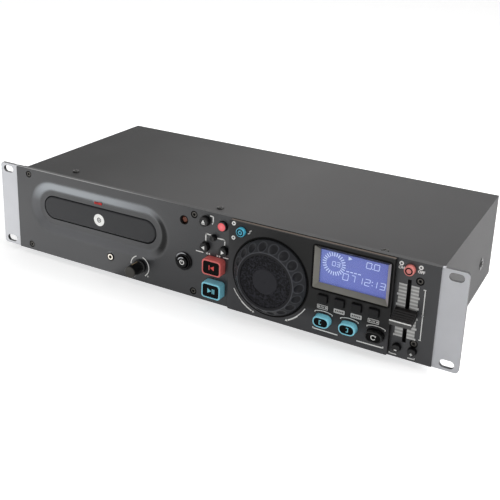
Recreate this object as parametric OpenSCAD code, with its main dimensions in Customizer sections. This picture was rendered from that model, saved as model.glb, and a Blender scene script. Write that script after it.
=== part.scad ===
// Two-unit rack-mount CD player with a motor-driven disc drawer, a jog wheel and a display.
// Millimetres. The origin is the centre of the four rack slots, on the rear face of the ears.
// X runs to the right seen from the front, Y runs into the case, Z runs up.

/* [Rack ears] */
// Width over both ears
panel_w = 482.6; // [470:0.1:490]
// Height of the ears and of the fascia
panel_h = 88.1; // [84:0.1:92]
// Width of an ear beside the fascia
ear_w = 21.9; // [20:0.1:26]
// Distance of a slot's middle from the ear's outer edge
slot_inset = 9.95; // [8:0.05:11]
// Distance between the upper and lower slots
slot_pitch_z = 76.2; // [70:0.1:78]
// Length of a rack slot
slot_len = 12.4; // [8:0.1:14]
// Width of a rack slot
slot_w = 7; // [6:0.1:8]
// Thickness of the ear plate
ear_t = 3; // [2:0.1:4]
// Rounding of the outer ear corners
ear_corner_r = 3; // [1:0.1:5]
// Depth of the ear leg inside the case
ear_leg_d = 32; // [20:1:38]
// Height of the ear leg
ear_leg_h = 62; // [40:1:70]

/* [Case] */
// How far the cover's sides lie inside the fascia's edges
cover_inset = 0.9; // [0:0.1:2]
// Depth of the case behind the ears
body_d = 201; // [196:1:260]
// Height of the cover's top above the slot centre
cover_top = 39.4; // [38.6:0.1:41]
// Depth of the underside below the slot centre
base_drop = 44; // [43:0.1:46]
// Cover sheet thickness
cover_t = 1; // [0.8:0.1:1.5]
// Chassis sheet thickness
sheet_t = 1.2; // [1:0.1:1.5]
// Height of the chassis side flanges
side_flange_h = 36; // [32:1:50]
// Radius of a rubber foot
foot_r = 11; // [8:0.5:15]
// Height of a rubber foot
foot_h = 6; // [4:0.5:9]
// Distance of a foot's centre from the case's side
foot_inset_x = 35; // [20:1:60]
// Distance of a foot's centre from the front and from the rear
foot_inset_y = 32; // [20:1:60]
// Radius of a cover screw's head
cover_screw_head_r = 3.4; // [2.5:0.1:4.5]
// Place of the two outer screws on the cover's top, left and right of the middle
cover_screw_place = 167.5; // [120:0.5:190]
// Distance of the left, middle and right top screws from the front
cover_screw_y = [25.5, 19, 11.5]; // [11:0.5:30]
// Height of the side screws below the slot centre
side_screw_drop = 16.5; // [12:0.5:30]
// Distance of the front and rear side screws from the front
side_screw_y = [40, 155]; // [38:1:180]

/* [Fascia] */
// How far the fascia stands in front of the ears
fascia_proud = 1; // [0.8:0.1:2]
// Wall of the fascia
fascia_t = 3; // [2.5:0.1:3.5]
// Fascia width that laps over each ear
ear_lap = 6.4; // [5:0.1:9]
// Thickness of the fascia's upper and lower rims
rim_t = 2.4; // [1.5:0.1:3]
// Place of the middle fascia screws
screw_mid_place = -7; // [-9:0.1:-6]
// Height of the left and middle fascia screws above and below the slot centre
screw_z = 38; // [37.5:0.1:39]
// Height of the right fascia screws above and below the slot centre
screw_right_z = 27.8; // [26:0.1:28]
// Radius of a fascia screw's head
screw_head_r = 2.6; // [2.4:0.1:2.7]
// Radius of a fascia screw's shank
screw_r = 1.5; // [1.2:0.1:1.7]

/* [Disc drawer front] */
// Sideways place of the drawer's middle
tray_place = -118.5; // [-121:0.1:-117]
// Height of the drawer door's middle
door_z = 7.4; // [6.8:0.1:8]
// Width of the drawer door
door_w = 135.4; // [134:0.1:138]
// Height of the drawer door
door_h = 23.6; // [22:0.1:25]
// Gap round the drawer door
door_gap = 0.6; // [0.4:0.1:1]
// Thickness of the drawer door
door_t = 3.4; // [3:0.1:4]
// How far the door stands in front of the dish floor
door_proud = 0.4; // [0:0.1:1]
// Width of the concave oblong round the door
dish_w = 165.6; // [162:0.2:168]
// Height of the concave oblong
dish_h = 53.6; // [50:0.2:54]
// Width of the slope round the oblong
dish_bevel = 8; // [6:0.2:9]
// Depth of the oblong
dish_depth = 3; // [2:0.1:3.4]
// Width of the drawer lamp's window
lamp_w = 9; // [6:0.1:12]
// Height of the drawer lamp's window
lamp_h = 2.5; // [1.5:0.1:3]
// Distance of the lamp's middle above the door's edge
lamp_gap = 4.6; // [3.5:0.1:5]

/* [Control block] */
// Left side of the raised block
block_left = 32; // [31.8:0.1:33]
// Right side of the raised block
block_right = 183.3; // [182.5:0.1:184]
// Lower side of the raised block
block_z0 = -42.5; // [-43:0.1:-42]
// Upper side of the raised block
block_z1 = 43.3; // [43:0.1:43.6]
// How far the block stands in front of the fascia
block_proud = 4.5; // [4:0.1:6]
// Wall of the block
block_wall = 2.2; // [2:0.1:2.4]

/* [Display] */
// Middle of the display: sideways, height
lcd_place = [147.2, 20.05]; // [10:0.05:150]
// Visible width of the display
lcd_w = 59.4; // [50:0.1:60]
// Visible height of the display
lcd_h = 30.6; // [26:0.1:31]
// Width of the slope round the display
lcd_bevel = 3.7; // [2:0.1:4.2]
// Depth of the display behind the block's face
lcd_depth = 4.5; // [3.5:0.1:5]
// Thickness of the clear window
lcd_window_t = 1; // [0.8:0.1:1.5]

/* [Jog wheel] */
// Middle of the jog wheel: sideways, height
jog_place = [73.6, -1.2]; // [-3:0.1:75]
// Outer radius of the jog wheel
jog_r = 35; // [33:0.1:35.6]
// Gap round the jog wheel
jog_gap = 0.6; // [0.4:0.1:1]
// How far the wheel's face stands in front of the block
jog_proud = 10; // [8:0.1:12]
// Radius of the rubber pad
jog_pad_r = 24; // [22:0.1:25]
// Width of the smooth rim round the pad
jog_rim_w = 2.8; // [1:0.1:4]
// Depth of the rubber pad
jog_pad_t = 2.2; // [1.5:0.1:3]
// Radius of the plain middle of the pad
jog_cap_r = 11.8; // [8:0.1:14]
// Number of finger dimples
jog_dimples = 18; // [12:1:20]
// Radius of a finger dimple
jog_dimple_r = 4.2; // [3:0.1:4.4]
// Radius of the wheel's spindle
jog_pin_r = 3; // [2.5:0.1:4]

/* [Knob and fader] */
// Volume knob: sideways, height
knob_place = [-67.3, -28.4]; // [-70:0.1:-27]
// Radius of the volume knob
knob_r = 6.1; // [4.5:0.1:6.4]
// Length of the volume knob
knob_len = 16.2; // [12:0.1:20]
// Radius of the knob's skirt
knob_skirt_r = 7; // [6:0.1:8]
// Radius of the knob's spindle
knob_pin_r = 3; // [2.5:0.1:3.2]
// Fader: sideways, middle height
fader_place = [195.2, -0.8]; // [-2:0.1:196]
// Full travel of the fader
fader_travel = 44.5; // [40:0.5:45]
// Length of the fader slot in the fascia
fader_slot_len = 56; // [54:0.5:57]
// Width of the fader slot in the fascia
fader_slot_w = 3.1; // [3:0.1:4]
// Width of the fader cap
fader_cap_w = 18; // [14:0.5:18.5]
// How far the fader cap stands in front of the fascia
fader_cap_d = 16.5; // [12:0.5:20]
// Height of the fader cap
fader_cap_h = 9.3; // [8:0.1:12]
// Thickness of the fader's lever
lever_t = 1.8; // [1.2:0.1:2.2]

/* [Buttons] */
// Gap round every button
button_gap = 0.35; // [0.3:0.05:0.5]
// Width of the lip behind the panel
button_lip = 0.8; // [0.6:0.1:0.9]
// Travel of the buttons
button_travel = 1; // [0.8:0.1:1.2]
// Edge rounding of the button faces
button_edge = 0.7; // [0.4:0.1:1]
// Eject button: sideways, height
eject_place = [5.1, 34.8]; // [4:0.1:36]
// Red button: sideways, height
red_place = [23.1, 33.6]; // [22:0.1:34]
// Plus button: sideways, height
plus_place = [14.3, 20.8]; // [13:0.1:22]
// Previous button: sideways, height
prev_place = [5.7, 10.2]; // [5:0.1:11]
// Next button: sideways, height
next_place = [25.2, 10.2]; // [9:0.1:26]
// Radius of the eject button
eject_r = 4.6; // [4:0.1:4.8]
// Radius of the red button
red_r = 4.6; // [4:0.1:4.8]
// Radius of the plus button
plus_r = 2.7; // [2.4:0.1:3.2]
// Radius of the previous and next buttons
skip_r = 4.3; // [3.8:0.1:4.4]
// How far the small round buttons stand in front of the fascia
round_proud = 4.6; // [3:0.1:6]
// Cue button: sideways, height
cue_place = [16.3, -5.8]; // [-7:0.1:17]
// Play button: sideways, height
play_place = [16.3, -28.6]; // [-30:0.1:17]
// Width of the cue and play buttons
key_w = 19.6; // [16:0.1:20]
// Height of the cue and play buttons
key_h = 15.2; // [14:0.1:16.4]
// Corner rounding of the cue and play buttons
key_corner = 3.2; // [2:0.1:4]
// How far the cue and play buttons stand in front of the fascia
key_proud = 8; // [3:0.1:9]
// Frame width round the dark face of a key
key_frame = 1.4; // [1:0.1:2.6]
// Depth of the dark face of a key
key_face_in = 0.4; // [0.2:0.1:0.6]
// Power button: sideways, height
power_place = [-17.5, -10.2]; // [-18:0.1:-10]
// Radius of the power ring
power_ring_r = 8.9; // [8:0.1:9.2]
// Radius of the power button
power_r = 5.2; // [4.6:0.1:5.6]
// Travel of the power button
power_travel = 2; // [1.5:0.1:2.2]
// Jog-mode button: sideways, height
mode_place = [44.4, 35]; // [34.5:0.1:45]
// Radius of the jog-mode button
mode_r = 4.2; // [3.6:0.1:4.3]
// How far the jog-mode button stands in front of the block
mode_proud = 3.2; // [2:0.1:4]
// Left display key: sideways, height
display_key_place = [124.2, -7]; // [-8:0.1:125]
// Distance between the display keys
display_key_pitch = 15.15; // [14:0.05:15.6]
// Width of a display key
display_key_w = 8.6; // [7:0.1:9]
// Height of a display key
display_key_h = 7.2; // [6:0.1:7.4]
// How far the display keys stand in front of the block
display_key_proud = 2.8; // [2:0.1:4]
// Distance of the last loop button's middle from the block's right side
loop_inset = 10.9; // [10:0.1:12]
// Height of the loop buttons' middles
loop_z = -26.7; // [-27:0.1:-26]
// Distance between the loop buttons
loop_pitch = 23.4; // [21:0.1:24]
// Width of a loop button
loop_w = 15; // [13:0.1:16]
// Height of a loop button
loop_h = 10.1; // [9:0.1:11.4]
// How far the loop buttons stand in front of the block
loop_proud = 6; // [2:0.1:7]
// Frame width round the dark face of a loop button
loop_frame = 1.2; // [1:0.1:2]
// Pitch button: sideways, height
pitch_place = [194.8, 36.2]; // [35:0.1:196]
// Radius of the pitch button
pitch_r = 4.2; // [3.6:0.1:4.3]
// Bend-minus button: sideways, height
bend_minus_place = [189.9, -34.7]; // [-35:0.1:190.2]
// Bend-plus button: sideways, height
bend_plus_place = [203.1, -34.7]; // [-35:0.1:204]
// Radius of the bend buttons
bend_r = 3.5; // [3:0.1:3.6]

/* [Sockets and lamps] */
// Aux socket: sideways, height
aux_place = [-102.1, -27.2]; // [-104:0.1:-26]
// Bore of the aux socket
aux_bore_r = 1.8; // [1.75:0.05:1.9]
// Radius of the aux socket's metal ring
aux_ring_r = 2.9; // [2.6:0.1:3.2]
// Remote sensor: sideways, height
sensor_place = [-17.8, 30.4]; // [-18.5:0.1:31]
// Radius of the remote sensor window
sensor_r = 3.8; // [3:0.1:4]
// Radius of an indicator lamp
led_r = 1.5; // [1.2:0.1:1.7]
// Upper jog lamp: sideways, height
led_jog_place = [36.6, 41.1]; // [36:0.1:41.4]
// Distance between the two jog lamps
led_jog_pitch = 13.4; // [12:0.1:14]
// Left pitch lamp: sideways, height
led_pitch_place = [187.2, 39.8]; // [39.5:0.1:188]
// Distance between the two pitch lamps
led_pitch_pitch = 16; // [15.6:0.1:17]

/* [Disc loader] */
// Disc well radius
well_r = 60.5; // [60.2:0.1:61]
// Small disc well radius
small_well_r = 40.5; // [40.2:0.1:41]
// Width of the tray
tray_w = 128; // [125:0.5:129]
// Length of the tray
tray_len = 168; // [164:0.5:170]
// Thickness of the tray
tray_t = 6; // [5:0.1:6.5]
// Depth of the disc well
well_depth = 3; // [2.5:0.1:3.2]
// Depth of the small well below the disc well
small_well_depth = 1.2; // [0.8:0.1:1.4]
// Height of the tray's underside above the slot centre
tray_bottom = 3; // [2.6:0.1:3.2]
// Distance of the disc's middle behind the ears
spindle_y = 74; // [73:0.5:76]
// Travel of the tray
tray_travel = 138; // [120:1:140]
// Width of the tray's pickup slot
pickup_slot_w = 34; // [32:0.5:38]
// Running gap of the tray in its guides
tray_play = 0.3; // [0.3:0.05:0.5]
// Wall of the loader frame
loader_wall = 3.5; // [3:0.1:4.5]
// Height of the loader frame's sides
loader_h = 26; // [24:0.5:28]
// Depth of the loader frame
loader_d = 172; // [172:0.5:176]
// Teeth of the drive gear
drive_teeth = 24; // [20:1:26]
// Tooth module of the loader and sled gears
gear_module = 1; // [0.9:0.05:1.05]
// Distance of the drive gear behind the ears
drive_y = 24; // [23:0.5:26]
// Groove radius of the drive pulley
drive_pulley_r = 15; // [14:0.5:16]
// Groove radius of the motor pulley
motor_pulley_r = 4; // [3:0.5:5]
// Distance between the motor and the drive gear
belt_centres = 36; // [34:0.5:40]
// Thickness of the drive belt
belt_t = 1.2; // [0.8:0.1:1.5]
// Radius of the turntable
turntable_r = 14; // [12:0.5:15]
// Radius of the disc's centring cone
cone_r = 7.4; // [7.2:0.05:7.45]
// Radius of the disc clamper
clamper_r = 15; // [14:0.5:17]
// Half width of the traverse
traverse_half = 50; // [49:0.5:51]
// Thickness of the traverse
traverse_t = 4; // [3:0.1:5]
// Radius of a guide rod
rod_r = 1.5; // [1.2:0.1:2]
// Distance of a guide rod from the spindle's plane
rod_x = 26; // [25:0.5:27]
// Travel of the pickup sled
sled_travel = 36; // [30:0.5:36]
// Teeth of the sled gear
sled_teeth = 12; // [11:1:13]
// Radius of the small motors
motor_r = 12; // [10:0.5:12.5]
// Height of the small motors
motor_h = 12.3; // [10:0.1:14]

/* [Boards and rear] */
// Board thickness
board_t = 1.6; // [1:0.1:2]
// Distance of the front board behind the ears
front_board_y = 5; // [4.6:0.1:7]
// Width of the main board
main_board_w = 150; // [120:1:160]
// Depth of the main board
main_board_d = 118; // [90:1:125]
// Height of the main board above the pan
main_board_h = 7; // [5:0.5:10]
// Width of the transformer's core
core_w = 48; // [40:1:52]
// Height of the transformer's core
core_h = 40; // [34:1:46]
// Depth of the transformer's core stack
core_d = 22; // [18:1:30]
// Distance of the transformer's front from the rear of the case
core_inset = 78; // [70:1:90]
// Outer radius of an output socket
rca_r = 4.15; // [4.1:0.05:4.2]
// Length of an output socket
rca_len = 9.5; // [8:0.5:12]
// Middle of the output sockets: sideways, height
rca_at = [20, -12]; // [-20:1:40]
// Distance between the output sockets
rca_pitch = 18; // [14:0.5:20]
// Middle of the mains inlet: sideways, height
inlet_place = [186, -14]; // [-20:1:188]
// Width of the inlet's cavity
inlet_w = 24.4; // [24:0.1:25]
// Height of the inlet's cavity
inlet_h = 16.4; // [16:0.1:17]
// Depth of the inlet's cavity
inlet_d = 15; // [14:0.5:17]

/* [Hidden] */
$fn = 48;

// Colours
dark = [0.19, 0.19, 0.2];
black = [0.07, 0.07, 0.08];
cyan = [0.33, 0.72, 0.79];
red = [0.85, 0.33, 0.33];
steel = [0.72, 0.73, 0.75];
zinc = [0.6, 0.61, 0.62];
board_green = [0.1, 0.32, 0.2];
cream = [0.85, 0.84, 0.78];

// Small overlap that makes a cut run clear of a face
eps = 0.5;
// Slack between pieces that are seated in each other
seat = 0.1;
// Radial slack of a running spindle
run_gap = 0.05;
// Air between a piece and the opening that it passes
air = 0.4;

// Widths that follow the panel
fascia_w = panel_w - 2 * ear_w;
body_w = fascia_w - 2 * cover_inset;
slot_pitch_x = panel_w - 2 * slot_inset;
// Inner edge of an ear, where its leg turns back
ear_in = fascia_w / 2 - ear_lap;
// Places are given for a nineteen-inch panel and spread with its width
spread = panel_w / (19 * 25.4);
function spread_out(p) = [p[0] * spread, p[1]];
lcd_at = spread_out(lcd_place);
jog_at = spread_out(jog_place);
knob_at = spread_out(knob_place);
fader_at = spread_out(fader_place);
eject_at = spread_out(eject_place);
red_at = spread_out(red_place);
plus_at = spread_out(plus_place);
prev_at = spread_out(prev_place);
next_at = spread_out(next_place);
cue_at = spread_out(cue_place);
play_at = spread_out(play_place);
power_at = spread_out(power_place);
mode_at = spread_out(mode_place);
display_key_at = spread_out(display_key_place);
pitch_at = spread_out(pitch_place);
bend_minus_at = spread_out(bend_minus_place);
bend_plus_at = spread_out(bend_plus_place);
aux_at = spread_out(aux_place);
sensor_at = spread_out(sensor_place);
led_jog_at = spread_out(led_jog_place);
led_pitch_at = spread_out(led_pitch_place);
inlet_at = spread_out(inlet_place);
// The dish keeps this much of the upstand standing beside it
dish_margin = 4;
tray_x = max(tray_place * spread, dish_w / 2 + dish_margin - ear_in);
block_x0 = block_left * spread;
block_x1 = block_right * spread;
screw_mid_x = screw_mid_place * spread;
cover_screw_x = cover_screw_place * spread;
loop_at = [block_x1 - loop_inset - 2 * loop_pitch * spread, loop_z];
// Half width of the slide potentiometer, wall round a screw, and the screws beside the potentiometer
fader_half_w = 5;
screw_wall = 1.6;
screw_x = fader_at[0] + fader_half_w + 0.2 + screw_r + screw_wall;

// Planes along Y
face = -(ear_t + fascia_proud);
fascia_back = face + fascia_t;
block_face = face - block_proud;
block_back = block_face + block_wall;
dish_floor = face + dish_depth;
dish_back = dish_floor + 2.2;
door_front = dish_floor - door_proud;
door_back = door_front + door_t;
// Lip of a button, and the room it needs to travel in front of the upstand
lip_t = 0.7;
upstand_y = fascia_back + seat + lip_t + button_travel + 0.2;
upstand_back = upstand_y + sheet_t;
cover_front = upstand_back + 0.2;
rear_y = body_d - 1 - sheet_t;
// Planes along Z
base_z = -base_drop;
pan_z = base_z + sheet_t;
cover_in = cover_top - cover_t;
// Inside of the cover's sides, and inside of the chassis flanges
side_in = body_w / 2 - cover_t;
flange_in = side_in - sheet_t;
upstand_w = 2 * (ear_in - seat);
// Upper edge of the front upstand
upstand_top = panel_h / 2 - 2;

// Lists of what goes through the fascia and the block
fascia_rounds = [
    [eject_at, eject_r], [red_at, red_r], [plus_at, plus_r], [prev_at, skip_r], [next_at, skip_r],
    [pitch_at, pitch_r], [bend_minus_at, bend_r], [bend_plus_at, bend_r]
];
display_keys = [for (i = [0:3]) display_key_at + [i * display_key_pitch * spread, 0]];
loop_buttons = [for (i = [0:2]) loop_at + [i * loop_pitch * spread, 0]];
fascia_screws_at = [
    for (s = [-1, 1]) [-screw_x, s * screw_z],
    for (s = [-1, 1]) [screw_mid_x, s * screw_z],
    for (s = [-1, 1]) [screw_x, s * screw_right_z]
];
jog_lamps = [for (i = [0, 1]) led_jog_at - [0, i * led_jog_pitch]];
pitch_lamps = [for (i = [0, 1]) led_pitch_at + [i * led_pitch_pitch, 0]];
lamp_at = [tray_x, door_z + door_h / 2 + lamp_gap];
switches_at = concat([for (b = fascia_rounds) b[0]], [cue_at, play_at, power_at, mode_at],
    display_keys, loop_buttons);

// Front board
board_x0 = power_at[0] - power_ring_r - 4;
board_x1 = bend_plus_at[0] + bend_r + 2.5;
board_z0 = base_z + 5;
board_z1 = cover_in - 0.4;
switch_w = 3;
switch_h = 3.5;
switch_face = front_board_y - switch_h;
press_gap = 0.3;
stem_r = 1.6;
stem_end = switch_face - button_travel - press_gap;
boss_r = 3;
// Air between a boss and the block's walls
boss_clear = 0.8;
block_in = block_wall + boss_r + boss_clear;
block_bosses = [
    [block_x0 + block_in, block_z0 + block_in + 0.2],
    [block_x1 - block_in, block_z0 + block_in + 0.2],
    [block_x0 + block_in, mode_at[1] - mode_r - 12],
    [lcd_at[0] - lcd_w / 2 - lcd_bevel - 6, cover_in - boss_r - 2]
];
// Bushes of the volume control and of the jog wheel
pot_bush_r = 4;
pot_d = 7.5;
encoder_bush_r = 5;
encoder_face = 0;
jog_face = block_face - jog_proud;
// Power ring and button
power_sleeve_r = power_ring_r - 1.6;
power_end = switch_face - power_travel - press_gap;
power_lip_t = 0.5;
// Rear sockets, main board and the screws on the cover's top
rca_places = [for (i = [-1:1]) rca_at + [i * rca_pitch, 0]];
core_foot = 9;
core_x = flange_in - core_w / 2 - core_foot - 3;
core_y = body_d - core_inset;
board_gap = 5.3;
main_x0 = core_x - core_w / 2 - core_foot - board_gap - main_board_w;
main_y0 = rear_y - 14.8 - main_board_d;
cover_screws_at = [
    [-cover_screw_x, cover_screw_y[0]], [6.6 * spread, cover_screw_y[1]], [cover_screw_x, cover_screw_y[2]]
];
brace_edge = 4.4;
brace_y0 = min(cover_screw_y) - brace_edge;
brace_y1 = max(cover_screw_y) + brace_edge;

// Loader
tray_top = tray_bottom + tray_t;
well_floor = tray_top - well_depth;
tray_front = door_back;
tray_half = tray_w / 2;
loader_in = tray_half + 2.5;
loader_out = loader_in + loader_wall;
loader_y0 = dish_back + 4.8;
loader_y1 = loader_y0 + loader_d;
loader_z1 = tray_top + 3;
loader_z0 = loader_z1 - loader_h;
ledge_in = tray_half - 4.5;
lip_in = tray_half - 3;
drive_r = drive_teeth * gear_module / 2;
rack_x = drive_r + belt_centres + 4;
drive_at = [rack_x - drive_r, drive_y];
motor_at = [drive_at[0] - belt_centres, drive_y];
rack_t = 4;
rack_h = 4;
deck_t = 2.5;
deck_z = tray_bottom - rack_h - 5;
deck_y1 = drive_y + drive_pulley_r + 7;
drive_pin_r = 2;
pulley_z = deck_z + 0.4;
pulley_h = 3.6;
belt_h = 1.6;
belt_gap = 0.3;
pulley_flange = 1.4;
motor_shaft_r = 1;
motor_boss_r = 3;
// Disc plane, clamper and bridge
disc_plane = well_floor + 2.2;
disc_t = 1.2;
cone_h = 2.7;
clamper_z = disc_plane + disc_t + 0.2;
bridge_z = loader_z1 + 2.5;
bridge_t = 2;
bridge_rib = 2;
bridge_d = 2 * (clamper_r + 2 + bridge_rib);
clamper_neck_r = 12;
// Traverse
traverse_drop = 7;
traverse_z1 = tray_bottom - traverse_drop;
traverse_z0 = traverse_z1 - traverse_t;
traverse_y0 = deck_y1 + 3;
window_over = 6;
window_y0 = spindle_y + motor_r - window_over;
sled_len = 22;
sled_gap = 10;
sled_y = window_y0 + sled_gap;
window_y1 = sled_y + sled_len + sled_travel + 1.2 * sled_gap;
traverse_edge = 8;
traverse_y1 = window_y1 + traverse_edge;
window_side = 6;
window_half = rod_x + window_side;
rod_z = tray_bottom - 4;
rod_block = 4;
hinge_y = traverse_y1 - 4;
hinge_z = (traverse_z0 + traverse_z1) / 2;
hinge_r = 1.8;
lug_t = 5;
hinge_lug_x = traverse_half + 1.5;
turntable_h = 2.8;
// Pickup sled
sled_half = 23;
sled_z0 = traverse_z1 - 1;
sled_z1 = tray_bottom - 1.5;
sled_gear_r = sled_teeth * gear_module / 2;
sled_rack_x = rod_x + rod_block + 4;
sled_gear_back = 6;
sled_gear_at = [tray_x - sled_rack_x - sled_gear_r, sled_y + sled_travel - sled_gear_back];
sled_gear_z = traverse_z1 + 0.6;
sled_gear_h = 3.9;
motor_places = [[tray_x, spindle_y], sled_gear_at];

// Points of an arc about [cx, cy]
function arc(cx, cy, r, a0, a1, n) =
    [for (i = [0:n]) let(a = a0 + (a1 - a0) * i / n) [cx + r * cos(a), cy + r * sin(a)]];

// Outline of a rectangle with round corners, about the origin
function round_rect(w, h, r, n = 6) = concat(
    arc(w / 2 - r, h / 2 - r, r, 0, 90, n), arc(r - w / 2, h / 2 - r, r, 90, 180, n),
    arc(r - w / 2, r - h / 2, r, 180, 270, n), arc(w / 2 - r, r - h / 2, r, 270, 360, n)
);

// Outline of an oblong with half-round ends, about the origin
function oblong(w, h, n = 24) =
    concat(arc(w / 2 - h / 2, 0, h / 2, -90, 90, n), arc(h / 2 - w / 2, 0, h / 2, 90, 270, n));

// Outline of a spur gear with straight-sided teeth, a tooth on the +X side
function gear_outline(teeth, m) = let(r = teeth * m / 2, step = 360 / teeth) [
    for (i = [0:teeth - 1])
        for (p = [[-0.31, -1.2], [-0.1, 0.85], [0.1, 0.85], [0.31, -1.2]])
            let(a = (i + p[0]) * step, q = r + p[1] * m) [q * cos(a), q * sin(a)]
];

// Outline of a rack with its teeth towards -X and a gap at the origin
function rack_outline(y0, y1, m, t) = let(step = PI * m) concat(
    [[t, y1], [t, y0], [1.25 * m, y0]],
    [
        for (i = [ceil((y0 + step / 2) / step):floor((y1 - step / 2) / step) - 1])
            for (p = [[0.17, 1.25], [0.38, -0.85], [0.62, -0.85], [0.83, 1.25]])
                [p[1] * m, (i + p[0]) * step]
    ],
    [[1.25 * m, y1]]
);

// Stands the children on the plane Y = y at [x, z], with their own +Z towards the viewer
module facing(p, y) {
    translate([p[0], y, p[1]]) rotate([90, 0, 0]) children();
}

// A box between two corners
module box(a, b) {
    translate(a) cube(b - a);
}

// A straight prism towards the viewer, from plane y0 forward to plane y1
module prism(p, y0, y1, outline) {
    facing(p, y0) linear_extrude(y0 - y1) polygon(outline);
}

// A straight round bar along Y, from plane y0 forward to plane y1
module bar(p, y0, y1, r) {
    facing(p, y0) cylinder(h = y0 - y1, r = r);
}

// A slot with round ends along X, cut towards the viewer from plane y0 to plane y1
module slot_cut(p, y0, y1, len, w) {
    bar(p - [len / 2 - w / 2, 0], y0, y1, w / 2);
    bar(p + [len / 2 - w / 2, 0], y0, y1, w / 2);
    box([p[0] - len / 2 + w / 2, y1, p[1] - w / 2], [p[0] + len / 2 - w / 2, y0, p[1] + w / 2]);
}

// The concave oblong: half cones at the ends and a sloped trough between them
module dish_cut() {
    r0 = dish_h / 2 - dish_bevel;
    rise = dish_depth + eps;
    r1 = r0 + dish_bevel / dish_depth * rise;
    half = dish_w / 2 - dish_h / 2;
    profile = [[0, 0], [r0, 0], [r1, rise], [0, rise]];
    facing([tray_x, door_z], dish_floor) {
        translate([half, 0, 0]) rotate([0, 0, -90]) rotate_extrude(angle = 180) polygon(profile);
        translate([-half, 0, 0]) rotate([0, 0, 90]) rotate_extrude(angle = 180) polygon(profile);
        translate([-half, 0, 0]) rotate([90, 0, 90]) linear_extrude(2 * half)
            polygon([[-r0, 0], [r0, 0], [r1, rise], [-r1, rise]]);
    }
}

// Folded chassis: pan, side flanges, cut-out front upstand and the brace under the cover
module chassis_pan() {
    window_gap = 2;
    block_window_x = eject_at[0] - eject_r - button_lip - 1;
    color(zinc) difference() {
        union() {
            box([-side_in, upstand_y, base_z], [side_in, rear_y, pan_z]);
            for (s = [-1, 1]) {
                x = s < 0 ? -side_in : flange_in;
                box([x, 3, base_z], [x + sheet_t, rear_y - 6, base_z + side_flange_h]);
                box([x, brace_y0, base_z], [x + sheet_t, brace_y1, cover_in]);
            }
            box([-upstand_w / 2, upstand_y, base_z], [upstand_w / 2, upstand_back, upstand_top]);
            box([-side_in, brace_y0, cover_in - sheet_t], [side_in, brace_y1, cover_in]);
            for (x = [main_x0 + 6, main_x0 + main_board_w - 6])
                for (y = [main_y0 + 6, main_y0 + main_board_d - 6])
                    translate([x, y, pan_z - eps]) cylinder(h = main_board_h + eps, r = 3);
        }
        // Window for the drawer
        upstand_cut([tray_x - dish_w / 2 - window_gap, door_z - dish_h / 2 - window_gap],
            [tray_x + dish_w / 2 + window_gap, door_z + dish_h / 2 + window_gap]);
        // Window for the power ring and the sensor
        upstand_cut([board_x0, power_at[1] - power_ring_r - 3],
            [block_window_x, sensor_at[1] + sensor_r + 1]);
        // Window for the control block, open at the top
        upstand_cut([block_window_x, pan_z + 2.8], [fader_at[0] + fader_half_w + air, upstand_top + eps]);
        bar(bend_plus_at, upstand_back + eps, upstand_y - eps, switch_w * 0.71 + air);
        bar(knob_at, upstand_back + eps, upstand_y - eps, pot_bush_r + seat);
        upstand_cut(aux_at - [6, 6], aux_at + [6, 6]);
        for (p = fascia_screws_at) bar(p, upstand_back + eps, upstand_y - eps, screw_r + seat);
        for (p = cover_screws_at) translate([p[0], p[1], cover_in - sheet_t - eps])
            cylinder(h = sheet_t + 2 * eps, r = screw_r + seat);
        for (s = [-1, 1])
            for (y = side_screw_y) translate([s * side_in, y, -side_screw_drop]) rotate([0, 90, 0])
                cylinder(h = 4 * sheet_t, r = screw_r + seat, center = true);
    }
}

// Cuts a window through the upstand, from [x, z] to [x, z]
module upstand_cut(a, b) {
    box([a[0], upstand_y - eps, a[1]], [b[0], upstand_back + eps, b[1]]);
}

// Rear panel with cut-outs for the sockets and the mains inlet
module rear_panel() {
    z1 = cover_in - 0.2;
    fold = 10;
    color(black) difference() {
        union() {
            box([-flange_in, rear_y, base_z], [flange_in, rear_y + sheet_t, z1]);
            box([-flange_in, rear_y - fold, z1 - sheet_t], [flange_in, rear_y + eps, z1]);
        }
        for (p = rca_places) bar(p, rear_y + sheet_t + eps, rear_y - eps, rca_r + 0.6);
        box([inlet_at[0] - inlet_w / 2 - 1.8, rear_y - eps, inlet_at[1] - inlet_h / 2 - 1.8],
            [inlet_at[0] + inlet_w / 2 + 1.8, rear_y + sheet_t + eps, inlet_at[1] + inlet_h / 2 + 1.8]);
    }
}

// Folded cover: top and two sides
module top_cover() {
    half = body_w / 2;
    color([0.3, 0.3, 0.31]) difference() {
        box([-half, cover_front, base_z], [half, body_d, cover_top]);
        box([-side_in, cover_front - eps, base_z - eps], [side_in, body_d + eps, cover_in]);
        for (p = cover_screws_at) translate([p[0], p[1], cover_in - eps])
            cylinder(h = cover_t + 2 * eps, r = screw_r + seat);
        for (s = [-1, 1])
            for (y = side_screw_y) translate([s * side_in, y, -side_screw_drop]) rotate([0, 90, 0])
                cylinder(h = 4 * cover_t, r = screw_r + seat, center = true);
    }
}

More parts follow.
